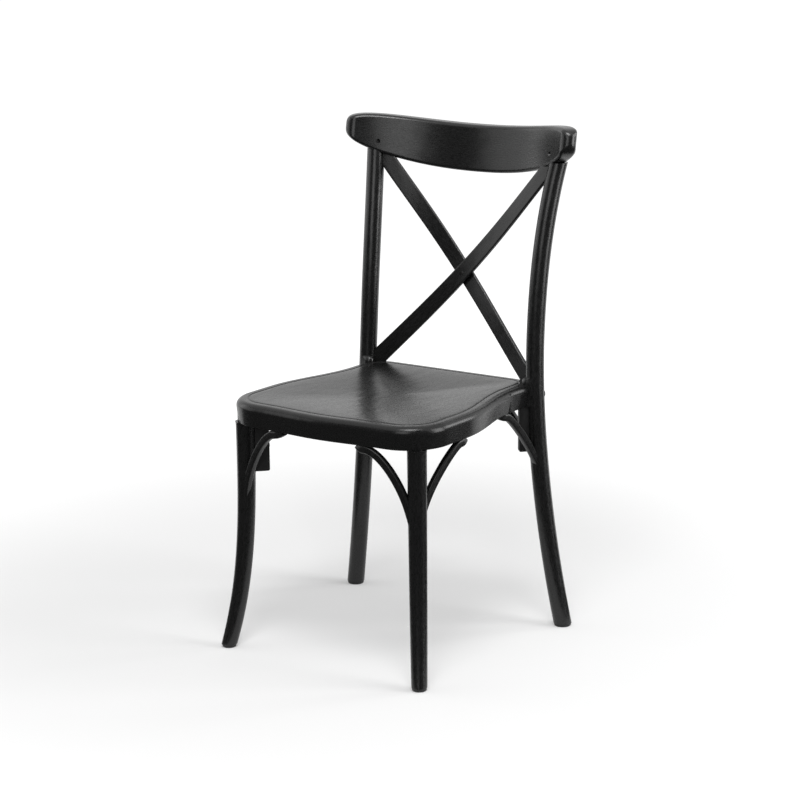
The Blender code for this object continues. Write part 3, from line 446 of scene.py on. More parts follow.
def resin(name, greys, roughness, grain_depth, wave_depth, ior=1.49):
    """Through-coloured resin: grey and roughness each between two values, grain and mould waves."""
    dark, light = greys
    finish = bpy.data.materials.new(name)
    finish.use_nodes = True
    nodes, links = finish.node_tree.nodes, finish.node_tree.links
    shader = nodes["Principled BSDF"]
    shader.inputs["IOR"].default_value = ior
    where = nodes.new("ShaderNodeAttribute")
    where.attribute_name = "grain"
    place = where.outputs["Vector"]
    pores = noise(nodes, links, place, scale=1100, stretch=0.4, detail=2)
    streaks = noise(nodes, links, place, scale=480, stretch=0.25, detail=3, offset=0.3)
    waves = noise(nodes, links, place, scale=45, stretch=0.5, detail=1, offset=0.7)
    blend = nodes.new("ShaderNodeMix")
    blend.data_type = "RGBA"
    blend.inputs["A"].default_value = (dark, dark, dark, 1)
    blend.inputs["B"].default_value = (light, light, light * 1.02, 1)
    links.new(spread(nodes, links, streaks, 0, 1), blend.inputs["Factor"])
    links.new(blend.outputs["Result"], shader.inputs["Base Color"])
    links.new(spread(nodes, links, streaks, *roughness), shader.inputs["Roughness"])
    normal = relief(nodes, links, waves, wave_depth, 1.0)
    normal = relief(nodes, links, streaks, grain_depth, 0.4, normal)
    normal = relief(nodes, links, pores, grain_depth * 0.6, 0.5, normal)
    links.new(normal, shader.inputs["Normal"])
    return finish


frame_resin = resin("grained_resin", (0.003, 0.006), (0.24, 0.34), grain_depth=0.00005, wave_depth=0.0006)
seat_resin = resin(
    "seat_grained_resin", (0.004, 0.007), (0.24, 0.32), grain_depth=0.00003, wave_depth=0.0006, ior=1.4
)
lug_resin = resin("dull_resin", (0.004, 0.008), (0.5, 0.62), grain_depth=0.00004, wave_depth=0.0003)
glide_resin = resin("hard_resin", (0.005, 0.008), (0.45, 0.6), grain_depth=0.00003, wave_depth=0.0002)
print("resins:", frame_resin.name, seat_resin.name, lug_resin.name, glide_resin.name)

# %% [markdown]
# ## Seat outline
#
# Seen from above, the seat is wide in front with generous corners, and narrows in a soft wave to
# its squarer rear. The outline is the mould's: a slightly bowed front edge, a corner arc, a
# straight stretch, half a cosine wave inwards, another stretch, a small arc and a straight back.
# The right half is drawn and mirrored, then spaced evenly and smoothed a little, because a jump
# in curvature shows as a kink in the highlight along the edge.

# %% Seat outline
SEAT_REAR_WIDTH = 0.354
SEAT_FRONT_REACH = 0.225
SEAT_FRONT_BOW = 0.009
SEAT_FRONT_CORNER = 0.077
SEAT_REAR_CORNER = 0.046
FLANK_FRONT_STRAIGHT = 0.060
FLANK_REAR_STRAIGHT = 0.039
OUTLINE_POINTS = 420
OUTLINE_SOFTNESS = 0.004


def even_loop(points, count):
    """Equal steps along a closed line of points."""
    closed = np.vstack([points, points[:1]])
    along = np.concatenate([[0], np.cumsum(np.hypot(*np.diff(closed, axis=0).T))])
    steps = np.linspace(0, along[-1], count + 1)[:-1]
    return np.column_stack([np.interp(steps, along, closed[:, k]) for k in (0, 1)]), along[-1]


def soften(loop, length, reach):
    """A closed loop blurred by a bell of the given reach: each wave number k is scaled by
    exp(-(2 pi k reach / length)^2 / 2)."""
    number = np.fft.fftfreq(len(loop), 1 / len(loop))
    weight = np.exp(-((2 * math.pi * number * reach / length) ** 2) / 2)
    return np.real(np.fft.ifft(np.fft.fft(loop, axis=0) * weight[:, None], axis=0))


def loop_normals(loop):
    """Unit vectors that point out of a loop that runs anticlockwise."""
    along = np.roll(loop, -1, axis=0) - np.roll(loop, 1, axis=0)
    return unit(np.column_stack([along[:, 1], -along[:, 0]]))


corner = np.array([SEAT_WIDTH / 2 - SEAT_FRONT_CORNER, SEAT_FRONT_CORNER - SEAT_FRONT_REACH])
rear_corner = np.array([SEAT_REAR_WIDTH / 2 - SEAT_REAR_CORNER, SEAT_REAR_REACH - SEAT_REAR_CORNER])
x = np.linspace(0, corner[0], 80)
bow = SEAT_FRONT_BOW * (1 + np.cos(math.pi * x / corner[0])) / 2
front_edge = np.column_stack([x, -SEAT_FRONT_REACH - bow])
turn = np.linspace(-math.pi / 2, 0, 60)[:, None]
front_arc = corner + SEAT_FRONT_CORNER * np.hstack([np.cos(turn), np.sin(turn)])
share = np.linspace(0, 1, 90)
narrowing = (SEAT_WIDTH - SEAT_REAR_WIDTH) / 2 * (1 - np.cos(math.pi * share)) / 2
flank_start, flank_stop = corner[1] + FLANK_FRONT_STRAIGHT, rear_corner[1] - FLANK_REAR_STRAIGHT
flank = np.column_stack([SEAT_WIDTH / 2 - narrowing, flank_start + share * (flank_stop - flank_start)])
turn = np.linspace(0, math.pi / 2, 60)[:, None]
rear_arc = rear_corner + SEAT_REAR_CORNER * np.hstack([np.cos(turn), np.sin(turn)])
rear_edge = np.array([[0, SEAT_REAR_REACH]])
half_plan = np.vstack([front_edge, front_arc[1:], flank, rear_arc[1:], rear_edge])
whole_plan = np.vstack([half_plan, half_plan[-2:0:-1] * (-1, 1)])
fine_plan, plan_length = even_loop(whole_plan, 8 * OUTLINE_POINTS)
plan = soften(fine_plan, plan_length, OUTLINE_SOFTNESS)[::8]
plan_out = loop_normals(plan)
print(f"outline {plan_length:.3f} m round")

# %% [markdown]
# ## Seat
#
# The seat is one hollow moulding: a shallow dish inside a narrow moulded groove, a softly crowned
# border, a rolled edge and a deep skirt. It is a profile carried round the outline. Each step of
# the profile is a distance in from the outline and a height. Inside the groove the rings shrink
# towards the middle, and the dish follows depth x (1 - share^2)^2, which is flat at both ends.
# The same profile turns under the skirt and comes back as the hidden inner side of the wall.

# %% Seat profile
SEAT_EDGE_RADIUS = 0.012
SKIRT_DRAFT = 0.0024
SKIRT_LIP = 0.0012
SEAT_WALL = 0.004
SEAT_DISH = 0.009
GROOVE_INSET = 0.0205
GROOVE_WIDTH = 0.004
GROOVE_DEPTH = 0.0013


def arc(from_turn, to_turn, count):
    """Angles of an arc, given in degrees."""
    return np.radians(np.linspace(from_turn, to_turn, count))


def groove_profile():
    """The groove is one cosine dip: depth x (1 + cos(2 pi s)) / 2 over its width."""
    s = np.linspace(-0.5, 0.5, 13)
    return GROOVE_INSET - s * GROOVE_WIDTH, SEAT_HEIGHT - GROOVE_DEPTH * (1 + np.cos(2 * math.pi * s)) / 2


def border_profile():
    """Distance in and height from the groove's inner side, over the edge, to the skirt's foot."""
    groove_in, groove_z = groove_profile()
    flat = np.linspace(groove_in[-1], SEAT_EDGE_RADIUS, 5)[1:-1]
    roll = arc(90, 0, 16)
    skirt = np.linspace(0, 1, 9)[1:]
    lip_z = SKIRT_BOTTOM + SKIRT_LIP
    drop = SEAT_HEIGHT - SEAT_EDGE_RADIUS - lip_z
    lip = arc(0, -90, 7)[1:]
    into = [groove_in, flat, SEAT_EDGE_RADIUS * (1 - np.cos(roll)), SKIRT_DRAFT * skirt]
    into += [SKIRT_DRAFT + SKIRT_LIP * (1 - np.cos(lip))]
    height = [groove_z, np.full(3, SEAT_HEIGHT), SEAT_HEIGHT - SEAT_EDGE_RADIUS * (1 - np.sin(roll))]
    height += [lip_z + drop * (1 - skirt), lip_z + SKIRT_LIP * np.sin(lip)]
    return np.concatenate(into), np.concatenate(height)


def inner_profile():
    """The hidden side of the wall, from the skirt's foot up and under the border."""
    radius = SEAT_EDGE_RADIUS - SEAT_WALL
    roll = arc(0, 90, 9)
    into = [[SKIRT_DRAFT + SEAT_WALL], SEAT_EDGE_RADIUS - radius * np.cos(roll)]
    into += [[GROOVE_INSET + GROOVE_WIDTH / 2]]
    height = [[SKIRT_BOTTOM], SEAT_HEIGHT - SEAT_EDGE_RADIUS + radius * np.sin(roll)]
    height += [[SEAT_HEIGHT - SEAT_WALL]]
    return np.concatenate(into), np.concatenate(height)


def rings(into, height):
    """Rings that lie a distance inside the outline, each at its own height."""
    flat = plan[None] - into[:, None, None] * plan_out[None]
    return np.dstack([flat, np.broadcast_to(height[:, None], flat.shape[:2])])


def dish_rings(shares, below=0.0):
    """Rings of the dish: the border line shrunk by each share, at the dish's height."""
    border = plan - (GROOVE_INSET + GROOVE_WIDTH / 2) * plan_out
    flat = shares[:, None, None] * border[None]
    height = SEAT_HEIGHT - SEAT_DISH * (1 - shares**2) ** 2 - below
    return np.dstack([flat, np.broadcast_to(height[:, None], flat.shape[:2])])


SMALLEST_SHARE = 0.02
top_rings = dish_rings(np.linspace(SMALLEST_SHARE, 1, 34)[:-1])
edge_rings = rings(*border_profile())
under_rings = rings(*inner_profile())
roof_rings = dish_rings(np.linspace(1, SMALLEST_SHARE, 20)[1:], below=SEAT_WALL)
seat_grid = np.concatenate([top_rings, edge_rings, under_rings, roof_rings])
seat_skin = skin(seat_grid, seat_grid[..., [0, 2, 1]])
print("seat rings:", len(seat_grid), "of", OUTLINE_POINTS, "points")

# %% [markdown]
# ## Under the seat
#
# A thin dish would flex, so the moulder puts ribs under it, sockets for the front legs, blocks for
# the rear bolts and small bosses for the brace screws. Nobody sees them from the front, but they
# are there when the chair is stacked or turned over. A rib is a narrow strip from wall to wall
# whose top follows the dish; a socket, block or boss is a profile turned about an upright line.

# %% Ribs
RIB_THICKNESS = 0.003
RIB_DEPTH = 0.012
RIB_SPACING = 0.085
RIB_EDGE = 0.0005
RIB_END_SEARCH = 0.003


def seat_top(points):
    """Height of the dish at plan points: a point's share is its distance from the middle over
    the border's distance in the same direction."""
    border = plan - (GROOVE_INSET + GROOVE_WIDTH / 2) * plan_out
    bearing = np.arctan2(border[:, 1], border[:, 0])
    order = np.argsort(bearing)
    here = np.arctan2(points[:, 1], points[:, 0])
    reach = np.interp(here, bearing[order], np.hypot(*border.T)[order], period=2 * math.pi)
    share = np.minimum(np.hypot(*points.T) / reach, 1)
    return SEAT_HEIGHT - SEAT_DISH * (1 - share**2) ** 2


def rib(axis, at):
    """A strip across the seat at a distance along one axis. Its ends rise inside the rolled edge
    on the quarter circle radius x (1 - cos a), radius x sin a."""
    wall = plan - SEAT_WALL / 2 * plan_out
    near = np.abs(wall[:, axis] - at) < RIB_END_SEARCH
    other = wall[near, 1 - axis]
    low, high = other[other < 0].mean(), other[other > 0].mean()
    ease = SEAT_EDGE_RADIUS - SEAT_WALL / 2
    bend = arc(0, 90, 7)[:-1]
    run = np.concatenate([low + ease * (1 - np.cos(bend)), np.linspace(low + ease, high - ease, 40)])
    run = np.concatenate([run, high - ease * (1 - np.cos(bend[::-1]))])
    middle = np.zeros((len(run), 2))
    middle[:, axis], middle[:, 1 - axis] = at, run
    top = seat_top(middle) - SEAT_WALL / 2
    top[: len(bend)] = SEAT_HEIGHT - SEAT_EDGE_RADIUS + ease * np.sin(bend)
    top[-len(bend) :] = top[: len(bend)][::-1]
    bottom = SEAT_HEIGHT - SEAT_DISH - SEAT_WALL - RIB_DEPTH
    half, edge = RIB_THICKNESS / 2, RIB_EDGE
    wide = np.array([-half, -half, edge - half, half - edge, half, half])
    down = np.array([0, bottom + edge, bottom, bottom, bottom + edge, 0])
    height = np.where(down == 0, top[:, None], down[None])
    grid = np.zeros((len(run), len(wide), 3))
    grid[..., axis], grid[..., 1 - axis], grid[..., 2] = at + wide, run[:, None], height
    return skin(grid, grid[..., [0, 2, 1]])


ribs = [rib(axis, step * RIB_SPACING) for axis in (0, 1) for step in (-1, 0, 1)]
print("ribs:", len(ribs))

# %% [markdown]
# ## Turned shapes
#
# Sockets, blocks and bosses are short round pillars, and later the screws' pockets and the foot
# glides are turned too. So there is one helper that turns any profile about any line.

# %% Turned shapes
PILLAR_EDGE = 0.0006


def turned(profile, columns, start=(0, 0, 0), direction=(0, 0, 1)):
    """A profile of (distance along, radius) turned about a line: each point is
    start + along x axis + radius x (cos a, sin a) across it."""
    profile = np.asarray(profile, float)
    axis = unit(direction)
    across = unit(np.cross(axis, (1.0, 0.0, 0.0) if abs(axis[2]) > 0.9 else (0.0, 0.0, 1.0)))
    around = np.linspace(0, 2 * math.pi, columns, endpoint=False)
    spokes = np.cos(around)[:, None] * across + np.sin(around)[:, None] * np.cross(axis, across)
    grid = np.asarray(start) + profile[:, :1, None] * axis + profile[:, 1:, None] * spokes[None]
    flat = np.stack([np.cos(around), np.sin(around)], axis=-1)[None] * profile[:, 1:, None]
    place = np.dstack([flat, np.broadcast_to(profile[:, :1], flat.shape[:2])])
    return skin(grid, place)


def pillar(x, y, radius, bottom, top):
    """A short upright cylinder with a small rounded foot."""
    edge = PILLAR_EDGE
    foot = arc(-90, 0, 5)
    profile = np.column_stack([bottom + edge + edge * np.sin(foot), radius - edge + edge * np.cos(foot)])
    return turned(np.vstack([profile, [top, radius]]), columns=48, start=(x, y, 0))


# %% [markdown]
# ## Leg lines
#
# A sabre leg hardly moves near the seat and then swings out faster and faster. A power of the
# share of height below the seat does that: about 3 for the front legs and about 1.9 for the
# rear legs. Above the seat the same rear piece becomes the back post, which leans back and
# flares out in the same way. So one function gives the middle of each bar. The crest's outline
# is needed here as well, because the posts end where the crest begins.

# %% Leg lines
FRONT_LEG_TOP = np.array([SEAT_WIDTH / 2 - 0.0323, 0.0330 - SEAT_FRONT_REACH])
FRONT_SPLAY = np.array([0.0235, -0.0339])
FRONT_SABRE_POWER = 3.15
POST_AT_SEAT = np.array([SEAT_REAR_WIDTH / 2 + 0.0001, SEAT_REAR_REACH - 0.0211])
POST_NARROWEST_HEIGHT, POST_FOREMOST_HEIGHT = SEAT_HEIGHT + 0.091, SEAT_HEIGHT - 0.069
REAR_SPLAY = np.array([0.0505, 0.0175])
REAR_SPLAY_POWERS = (1.85, 1.86)
POST_FLARE, POST_BACK_REACH = 0.0149, 0.0533
POST_FLARE_POWER, POST_LEAN_POWER = 2.45, 2.25
POST_RADIUS = 0.0158
FOOT_HEIGHT = 0.005

CREST_MID_HEIGHT = 0.8254
CREST_DEPTH = 0.0819
CREST_LENGTH = 0.4707
CREST_END_RISE = 0.0360
CREST_RISE_POWER, CREST_END_POWER, CREST_END_FULLNESS = 2.12, 2.85, 3.53


def crest_edges(x):
    """The crest's outline: a middle line that rises with share^2.12, and a half height that falls
    off towards the ends as (1 - share^2.85)^(1 / 3.53)."""
    share = np.minimum(np.abs(x) / (CREST_LENGTH / 2), 1)
    middle = CREST_MID_HEIGHT + CREST_END_RISE * share**CREST_RISE_POWER
    half = CREST_DEPTH / 2 * (1 - share**CREST_END_POWER) ** (1 / CREST_END_FULLNESS)
    return middle - half, middle + half


CREST_BASE = crest_edges(POST_AT_SEAT[0] + POST_FLARE)[0]


def front_leg_line(z):
    """Middle of the right front leg: top + splay x (1 - z / height of the skirt's foot)^3.15."""
    share = np.maximum(1 - np.asarray(z) / SKIRT_BOTTOM, 0) ** FRONT_SABRE_POWER
    return FRONT_LEG_TOP + np.asarray(share)[..., None] * FRONT_SPLAY


def swing(z, turning_height, low_power, high_power):
    """Share of the swing outwards below and above a turning height: (1 - z / turning)^low power
    and ((z - turning) / (crest - turning))^high power, and nought on the other side."""
    below = np.maximum(1 - z / turning_height, 0) ** low_power
    above = np.maximum((z - turning_height) / (CREST_BASE - turning_height), 0) ** high_power
    return below, above


def rear_leg_line(z):
    """Middle of the right rear leg and post: sideways and backwards each a power of the height
    below or above the point where that direction turns round."""
    z = np.asarray(z, float)
    below, above = swing(z, POST_NARROWEST_HEIGHT, REAR_SPLAY_POWERS[0], POST_FLARE_POWER)
    x = POST_AT_SEAT[0] + REAR_SPLAY[0] * below + POST_FLARE * above
    below, above = swing(z, POST_FOREMOST_HEIGHT, REAR_SPLAY_POWERS[1], POST_LEAN_POWER)
    y = POST_AT_SEAT[1] + REAR_SPLAY[1] * below + POST_BACK_REACH * above
    return np.stack([x, y], axis=-1)


def leg_slopes(line, z):
    """Unit tangents of a leg line at heights."""
    step = 0.001
    lean = (line(z + step) - line(z - step)) / (2 * step)
    return unit(np.column_stack([lean, np.ones(len(z))]))


def bar(line, z, radius, columns, side):
    """Level cuts through a round bar that leans. A level cut of a leaning bar is an oval: the
    radius in a direction grows by 1 / sqrt(1 - (direction . tangent)^2)."""
    around = np.linspace(0, 2 * math.pi, columns, endpoint=False)
    spokes = np.column_stack([np.cos(around), np.sin(around)])
    lean = leg_slopes(line, z)[:, :2] @ spokes.T
    offset = (radius / np.sqrt(1 - lean**2))[..., None] * spokes[None]
    grid = np.dstack([line(z)[:, None] + offset, np.broadcast_to(z[:, None], offset.shape[:2])])
    place = np.dstack([offset, grid[..., 2]])
    return grid * (side, 1, 1), place


print(f"crest stands at {CREST_BASE:.4f} over the posts")

# %% [markdown]
# ## Rear legs with their posts
#
# Leg and back post are one round bar, as on a bentwood chair. Where it passes the seat's rear
# corner it swells into a small ear that carries the seat's bolt. The ear is drawn in the level
# cut: the outline is the band stretched round two circles, the post's and a smaller one beside
# it. The small circle stays under the seat's edge and slides back into the post above the seat,
# on an ellipse, which gives the knuckle its domed top.

# %% Rear legs
EAR_RADIUS = 0.0095
EAR_REACH = 0.014
EAR_TOP = SEAT_HEIGHT + 0.0105
EAR_DOME = 0.0095
EAR_BEARING = math.radians(225)
SADDLE_DEPTH = 0.003
SIDES = {"left": -1.0, "right": 1.0}


def band_round(turn, big, small, apart):
    """Distance from the big circle's middle to a band stretched round both circles.

    The band leaves the big circle at the angle b with cos b = (big - small) / apart, runs
    straight, big / cos(turn - b), and then follows the small circle,
    apart cos(turn) + sqrt(small^2 - apart^2 sin^2(turn)).
    """
    turn = np.abs(turn)
    apart = np.maximum(apart, big - small + 1e-9)
    leave = np.arccos((big - small) / apart)
    touch = np.arctan2(small * np.sin(leave), apart + small * np.cos(leave))
    straight = big / np.cos(np.minimum(turn, leave) - leave)
    inner = np.minimum(turn, touch)
    small_arc = apart * np.cos(inner) + np.sqrt(np.maximum(small**2 - (apart * np.sin(inner)) ** 2, 0))
    return np.where(turn >= leave, big, np.where(turn >= touch, straight, small_arc))


def rear_leg_skin(side):
    """The round bar from the foot into the crest, with the ear's band between skirt and dome."""
    low = np.linspace(FOOT_HEIGHT, SKIRT_BOTTOM, 120)
    ear = np.linspace(SKIRT_BOTTOM, EAR_TOP - EAR_DOME, 10)
    dome = EAR_TOP - EAR_DOME * np.cos(arc(0, 90, 15))[1:]
    high = np.linspace(EAR_TOP, CREST_BASE + SADDLE_DEPTH, 120)[1:]
    z = np.concatenate([low, ear, dome, high])
    columns = 112
    grid, place = bar(rear_leg_line, z, POST_RADIUS, columns, 1)
    reach = np.zeros(len(z))
    reach[len(low) : len(low) + len(ear)] = EAR_REACH
    rise = (dome - (EAR_TOP - EAR_DOME)) / EAR_DOME
    least = POST_RADIUS - EAR_RADIUS
    over_dome = slice(len(low) + len(ear), len(low) + len(ear) + len(dome))
    reach[over_dome] = least + (EAR_REACH - least) * np.sqrt(np.maximum(1 - rise**2, 0))
    around = np.linspace(0, 2 * math.pi, columns, endpoint=False)
    turn = (around - EAR_BEARING + math.pi) % (2 * math.pi) - math.pi
    growth = band_round(turn[None], POST_RADIUS, EAR_RADIUS, reach[:, None]) / POST_RADIUS
    middle = np.dstack([np.broadcast_to(rear_leg_line(z)[:, None], (*grid.shape[:2], 2)), grid[..., 2]])
    grid = middle + (grid - middle) * growth[..., None]
    return skin(grid * (side, 1, 1), place)


for name, side in SIDES.items():
    mesh = mesh_of(f"rear_leg_bar_{name}", [rear_leg_skin(side)])
    piece(f"rear_leg_bar_{name}", mesh, frame_resin, f"rear_leg_{name}")
print("rear legs: 2, each", len(mesh.polygons), "faces")

# %% [markdown]
# ## Front legs
#
# The front legs are plain sabre legs, slightly slimmer at the foot. At the top a small cove, a
# hollow quarter of an ellipse, spreads the leg to the seat so that it does not look stuck on.

# %% Front legs
FRONT_LEG_RADIUS = 0.0164
FRONT_FOOT_RADIUS = 0.0131
FRONT_TAPER_POWER = 0.6
COVE_REACH = 0.0012
COVE_HEIGHT = 0.007
FOOT_EDGE = 0.0006
SKIRT_GAP = 0.0001


def front_leg_radius(z):
    """The radius grows from foot to seat with share^0.6, so most of the taper is near the foot."""
    share = np.minimum(np.asarray(z) / SKIRT_BOTTOM, 1) ** FRONT_TAPER_POWER
    return FRONT_FOOT_RADIUS + share * (FRONT_LEG_RADIUS - FRONT_FOOT_RADIUS)


def front_leg_skin(side):
    """The bar, with reach x (1 - sqrt(1 - s^2)) added over the cove's height."""
    top = SKIRT_BOTTOM - SKIRT_GAP
    foot = FOOT_HEIGHT + FOOT_EDGE * (1 + np.sin(arc(-90, 0, 5)))
    shaft = np.linspace(foot[-1], top - COVE_HEIGHT, 130)[1:]
    cove = top - COVE_HEIGHT * (1 - np.sin(arc(0, 88, 14)))[1:]
    z = np.concatenate([foot, shaft, cove])
    radius = front_leg_radius(z)
    radius[: len(foot)] -= FOOT_EDGE * (1 - np.cos(arc(-90, 0, 5)))
    climb = np.clip((z - (top - COVE_HEIGHT)) / COVE_HEIGHT, 0, 1)
    radius += COVE_REACH * (1 - np.sqrt(1 - climb**2))
    return skin(*bar(front_leg_line, z, radius[:, None], 96, side))


for name, side in SIDES.items():
    mesh = mesh_of(f"front_leg_bar_{name}", [front_leg_skin(side)])
    piece(f"front_leg_bar_{name}", mesh, frame_resin, f"front_leg_{name}")
print("front legs: 2, each", len(mesh.polygons), "faces")

# %% [markdown]
# ## Seat with all that is moulded to it
#
# The seat comes out of the mould with its ribs, sockets, blocks and bosses. The sockets stand
# over the front legs, the blocks beside the ears and the bosses over the brace screws, which are
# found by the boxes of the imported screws. All these closed skins go into one mesh.

# %% Seat with all that is moulded to it
BOSS_TOP = SEAT_HEIGHT - 0.0052
SOCKET_RADIUS = 0.013
BOSS_RADIUS = 0.0058
BLOCK_RADIUS = 0.013
BLOCK_AT = EAR_REACH + EAR_RADIUS + BLOCK_RADIUS / 2
brace_screws = [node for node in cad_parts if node.endswith("_screw") and "brace" in node]

supports = []
for side in SIDES.values():
    x, y = FRONT_LEG_TOP
    supports.append(pillar(side * x, y, SOCKET_RADIUS, SKIRT_BOTTOM, BOSS_TOP))
    x, y = rear_leg_line(SEAT_HEIGHT) - BLOCK_AT * math.sqrt(0.5)
    supports.append(pillar(side * x, y, BLOCK_RADIUS, SKIRT_BOTTOM, BOSS_TOP))
for node in brace_screws:
    middle = (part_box(node)[0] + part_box(node)[1]) / 2
    supports.append(pillar(middle.x, middle.y - SHIFT, BOSS_RADIUS, SKIRT_BOTTOM, BOSS_TOP))
seat_mesh = mesh_of("moulded_seat", [seat_skin, *ribs, *supports])
piece("moulded_seat", seat_mesh, seat_resin, "seat")
print("seat supports:", len(supports), "faces:", len(seat_mesh.polygons))

# %% [markdown]
# ## Rounded sections
#
# Crest, slats and braces all have a rectangular section with rounded edges. The pattern below is
# made once for a section of any size: every point knows which corner it belongs to and the angle
# of its rounding. On the flat faces it moves evenly from one corner to the next.

# %% Section pattern


def section_pattern(round_steps, wide_steps, tall_steps):
    """Four numbers for each point of the section: corner share across, corner share up, cosine
    and sine of the rounding's angle."""
    rows = []
    corners = ((1, 1), (-1, 1), (-1, -1), (1, -1))
    for k, (sx, sy) in enumerate(corners):
        turn = arc(90 * k, 90 * (k + 1), round_steps + 1)
        rows.append(np.column_stack([np.full((len(turn), 2), (sx, sy)), np.cos(turn), np.sin(turn)]))
        nx, ny = corners[(k + 1) % 4]
        steps = wide_steps if sx != nx else tall_steps
        s = np.linspace(0, 1, steps + 1)[1:-1, None]
        between = (1 - s) * (sx, sy) + s * (nx, ny)
        ends = np.broadcast_to((np.cos(turn[-1]), np.sin(turn[-1])), between.shape)
        rows.append(np.hstack([between, ends]))
    return np.vstack(rows)


def section(pattern, half_wide, half_tall, radius):
    """Points of the section for one size, or for a column of sizes."""
    sx, sy, cosine, sine = pattern.T
    return sx * (half_wide - radius) + radius * cosine, sy * (half_tall - radius) + radius * sine


# %% [markdown]
# ## Crest rail
#
# The crest is a thick board, bean-shaped seen from the front and bent round the sitter's back.
# On the real chair it is one moulding with generously rounded edges. It is a section carried
# along an arc: the section's height follows the outline, its thickness runs out to nothing over
# the last twelve millimetres at each end, and each point is pushed back or forward along the
# arc's own direction. Two screws enter from the front at the bottom of small round pockets.

# %% Crest
CREST_THICKNESS = 0.029
CREST_EDGE_RADIUS = 0.0065
CREST_BEND_RADIUS = 0.3392
CREST_LEAN = 0.17
CREST_END_ROUNDING = 0.012
CREST_FORWARD_OFFSET = 0.0035


def crest_surface(x, z, out):
    """Place of a point at distance x along the width, height z and distance out behind the
    middle surface, a cylinder of the bend radius that leans back with height."""
    post_x, post_y = rear_leg_line(CREST_BASE)
    sag = np.sqrt(CREST_BEND_RADIUS**2 - x**2) - math.sqrt(CREST_BEND_RADIUS**2 - post_x**2)
    y = post_y - CREST_FORWARD_OFFSET + sag + CREST_LEAN * (z - CREST_BASE)
    bearing = np.arcsin(x / CREST_BEND_RADIUS)
    return np.dstack([x + out * np.sin(bearing), y + out * np.cos(bearing), z])


def crest_skin():
    """Rings at x = half length x sin(turn), so that they crowd where the ends close."""
    half = CREST_LENGTH / 2
    x = half * np.sin(arc(-89.3, 89.3, 300))[:, None]
    low, high = crest_edges(x)
    from_end = np.minimum((half - np.abs(x)) / CREST_END_ROUNDING, 1)
    thick = CREST_THICKNESS / 2 * np.sqrt(1 - (1 - from_end) ** 2)
    tall = (high - low) / 2
    radius = np.minimum(CREST_EDGE_RADIUS, 0.98 * np.minimum(tall, thick))
    out, up = section(section_pattern(round_steps=10, wide_steps=6, tall_steps=40), thick, tall, radius)
    x_all = np.broadcast_to(x, out.shape)
    grid = crest_surface(x_all, (low + high) / 2 + up, out)
    along = CREST_BEND_RADIUS * np.arcsin(x_all / CREST_BEND_RADIUS)
    return skin(grid, np.dstack([out, up, along]))


# %% [markdown]
# ## Screws
#
# Nineteen small screws and bolts hold the chair together. Their places and directions are read
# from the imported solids: the longest direction of a solid's points is its axis, and the wider end
# is the head. Each is a pan head with a cross recess on a plain shank. The head is a dome, and
# the recess is taken out of its height where a point lies inside either arm of the cross.

# %% Screw measuring
TIP_REACH = 0.0005


def measure_screw(node):
    """Head top, direction into the work, length and head radius of one packed screw."""
    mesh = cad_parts[node].data
    points = np.zeros(len(mesh.vertices) * 3, np.float32)
    mesh.vertices.foreach_get("co", points)
    points = np.unique(np.round(points.reshape(-1, 3).astype(float), 6), axis=0) - (0, SHIFT, 0)
    middle = points.mean(axis=0)
    axis = np.linalg.svd(points - middle)[2][0]
    along = (points - middle) @ axis
    away = np.linalg.norm(points - middle - along[:, None] * axis, axis=1)
    if away[along > along.mean()].max() > away[along < along.mean()].max():
        axis, along = -axis, -along
    near_tip = along > along.max() - TIP_REACH
    centre = points[near_tip].mean(axis=0)
    return centre - axis * (along.max() - along.min()), axis, along.max() - along.min(), away.max()


screws = {node: measure_screw(node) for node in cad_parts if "screw" in node or "bolt" in node}
longest = max(length for _, _, length, _ in screws.values())
print(f"screws: {len(screws)}, longest {longest * 1000:.1f} mm")

# %% [markdown]
# ## Blackened steel
#
# Outdoor screws for black furniture are blackened so that they don't show. The film is thin and
# uneven, so the metal's colour and gloss vary a little, which a fine noise draws. The head and
# the shank are one profile turned about the axis, in shares of the head's radius.

# %% Steel and screws
RECESS_ARM = 0.58
RECESS_WIDTH = 0.17
RECESS_FADE = 0.1
RECESS_DEPTH = 0.5
HEAD_HEIGHT = 0.62
DOME_SHARE = 0.3
SHANK_SHARE = 0.45
POINT_START, POINT_SHARE = 0.96, 0.6


def steel(name):
    """Blackened steel: metal with a brown-black film, rubbed a little on the high spots."""
    finish = bpy.data.materials.new(name)
    finish.use_nodes = True
    nodes, links = finish.node_tree.nodes, finish.node_tree.links
    shader = nodes["Principled BSDF"]
    shader.inputs["Metallic"].default_value = 1.0
    where = nodes.new("ShaderNodeAttribute")
    where.attribute_name = "grain"
    film = noise(nodes, links, where.outputs["Vector"], scale=900, stretch=1.0, detail=3)
    blend = nodes.new("ShaderNodeMix")
    blend.data_type = "RGBA"
    blend.inputs["A"].default_value = (0.05, 0.05, 0.052, 1)
    blend.inputs["B"].default_value = (0.12, 0.118, 0.115, 1)
    links.new(spread(nodes, links, film, 0, 1), blend.inputs["Factor"])
    links.new(blend.outputs["Result"], shader.inputs["Base Color"])
    links.new(spread(nodes, links, film, 0.4, 0.55), shader.inputs["Roughness"])
    links.new(relief(nodes, links, film, depth=0.00004, strength=0.5), shader.inputs["Normal"])
    return finish


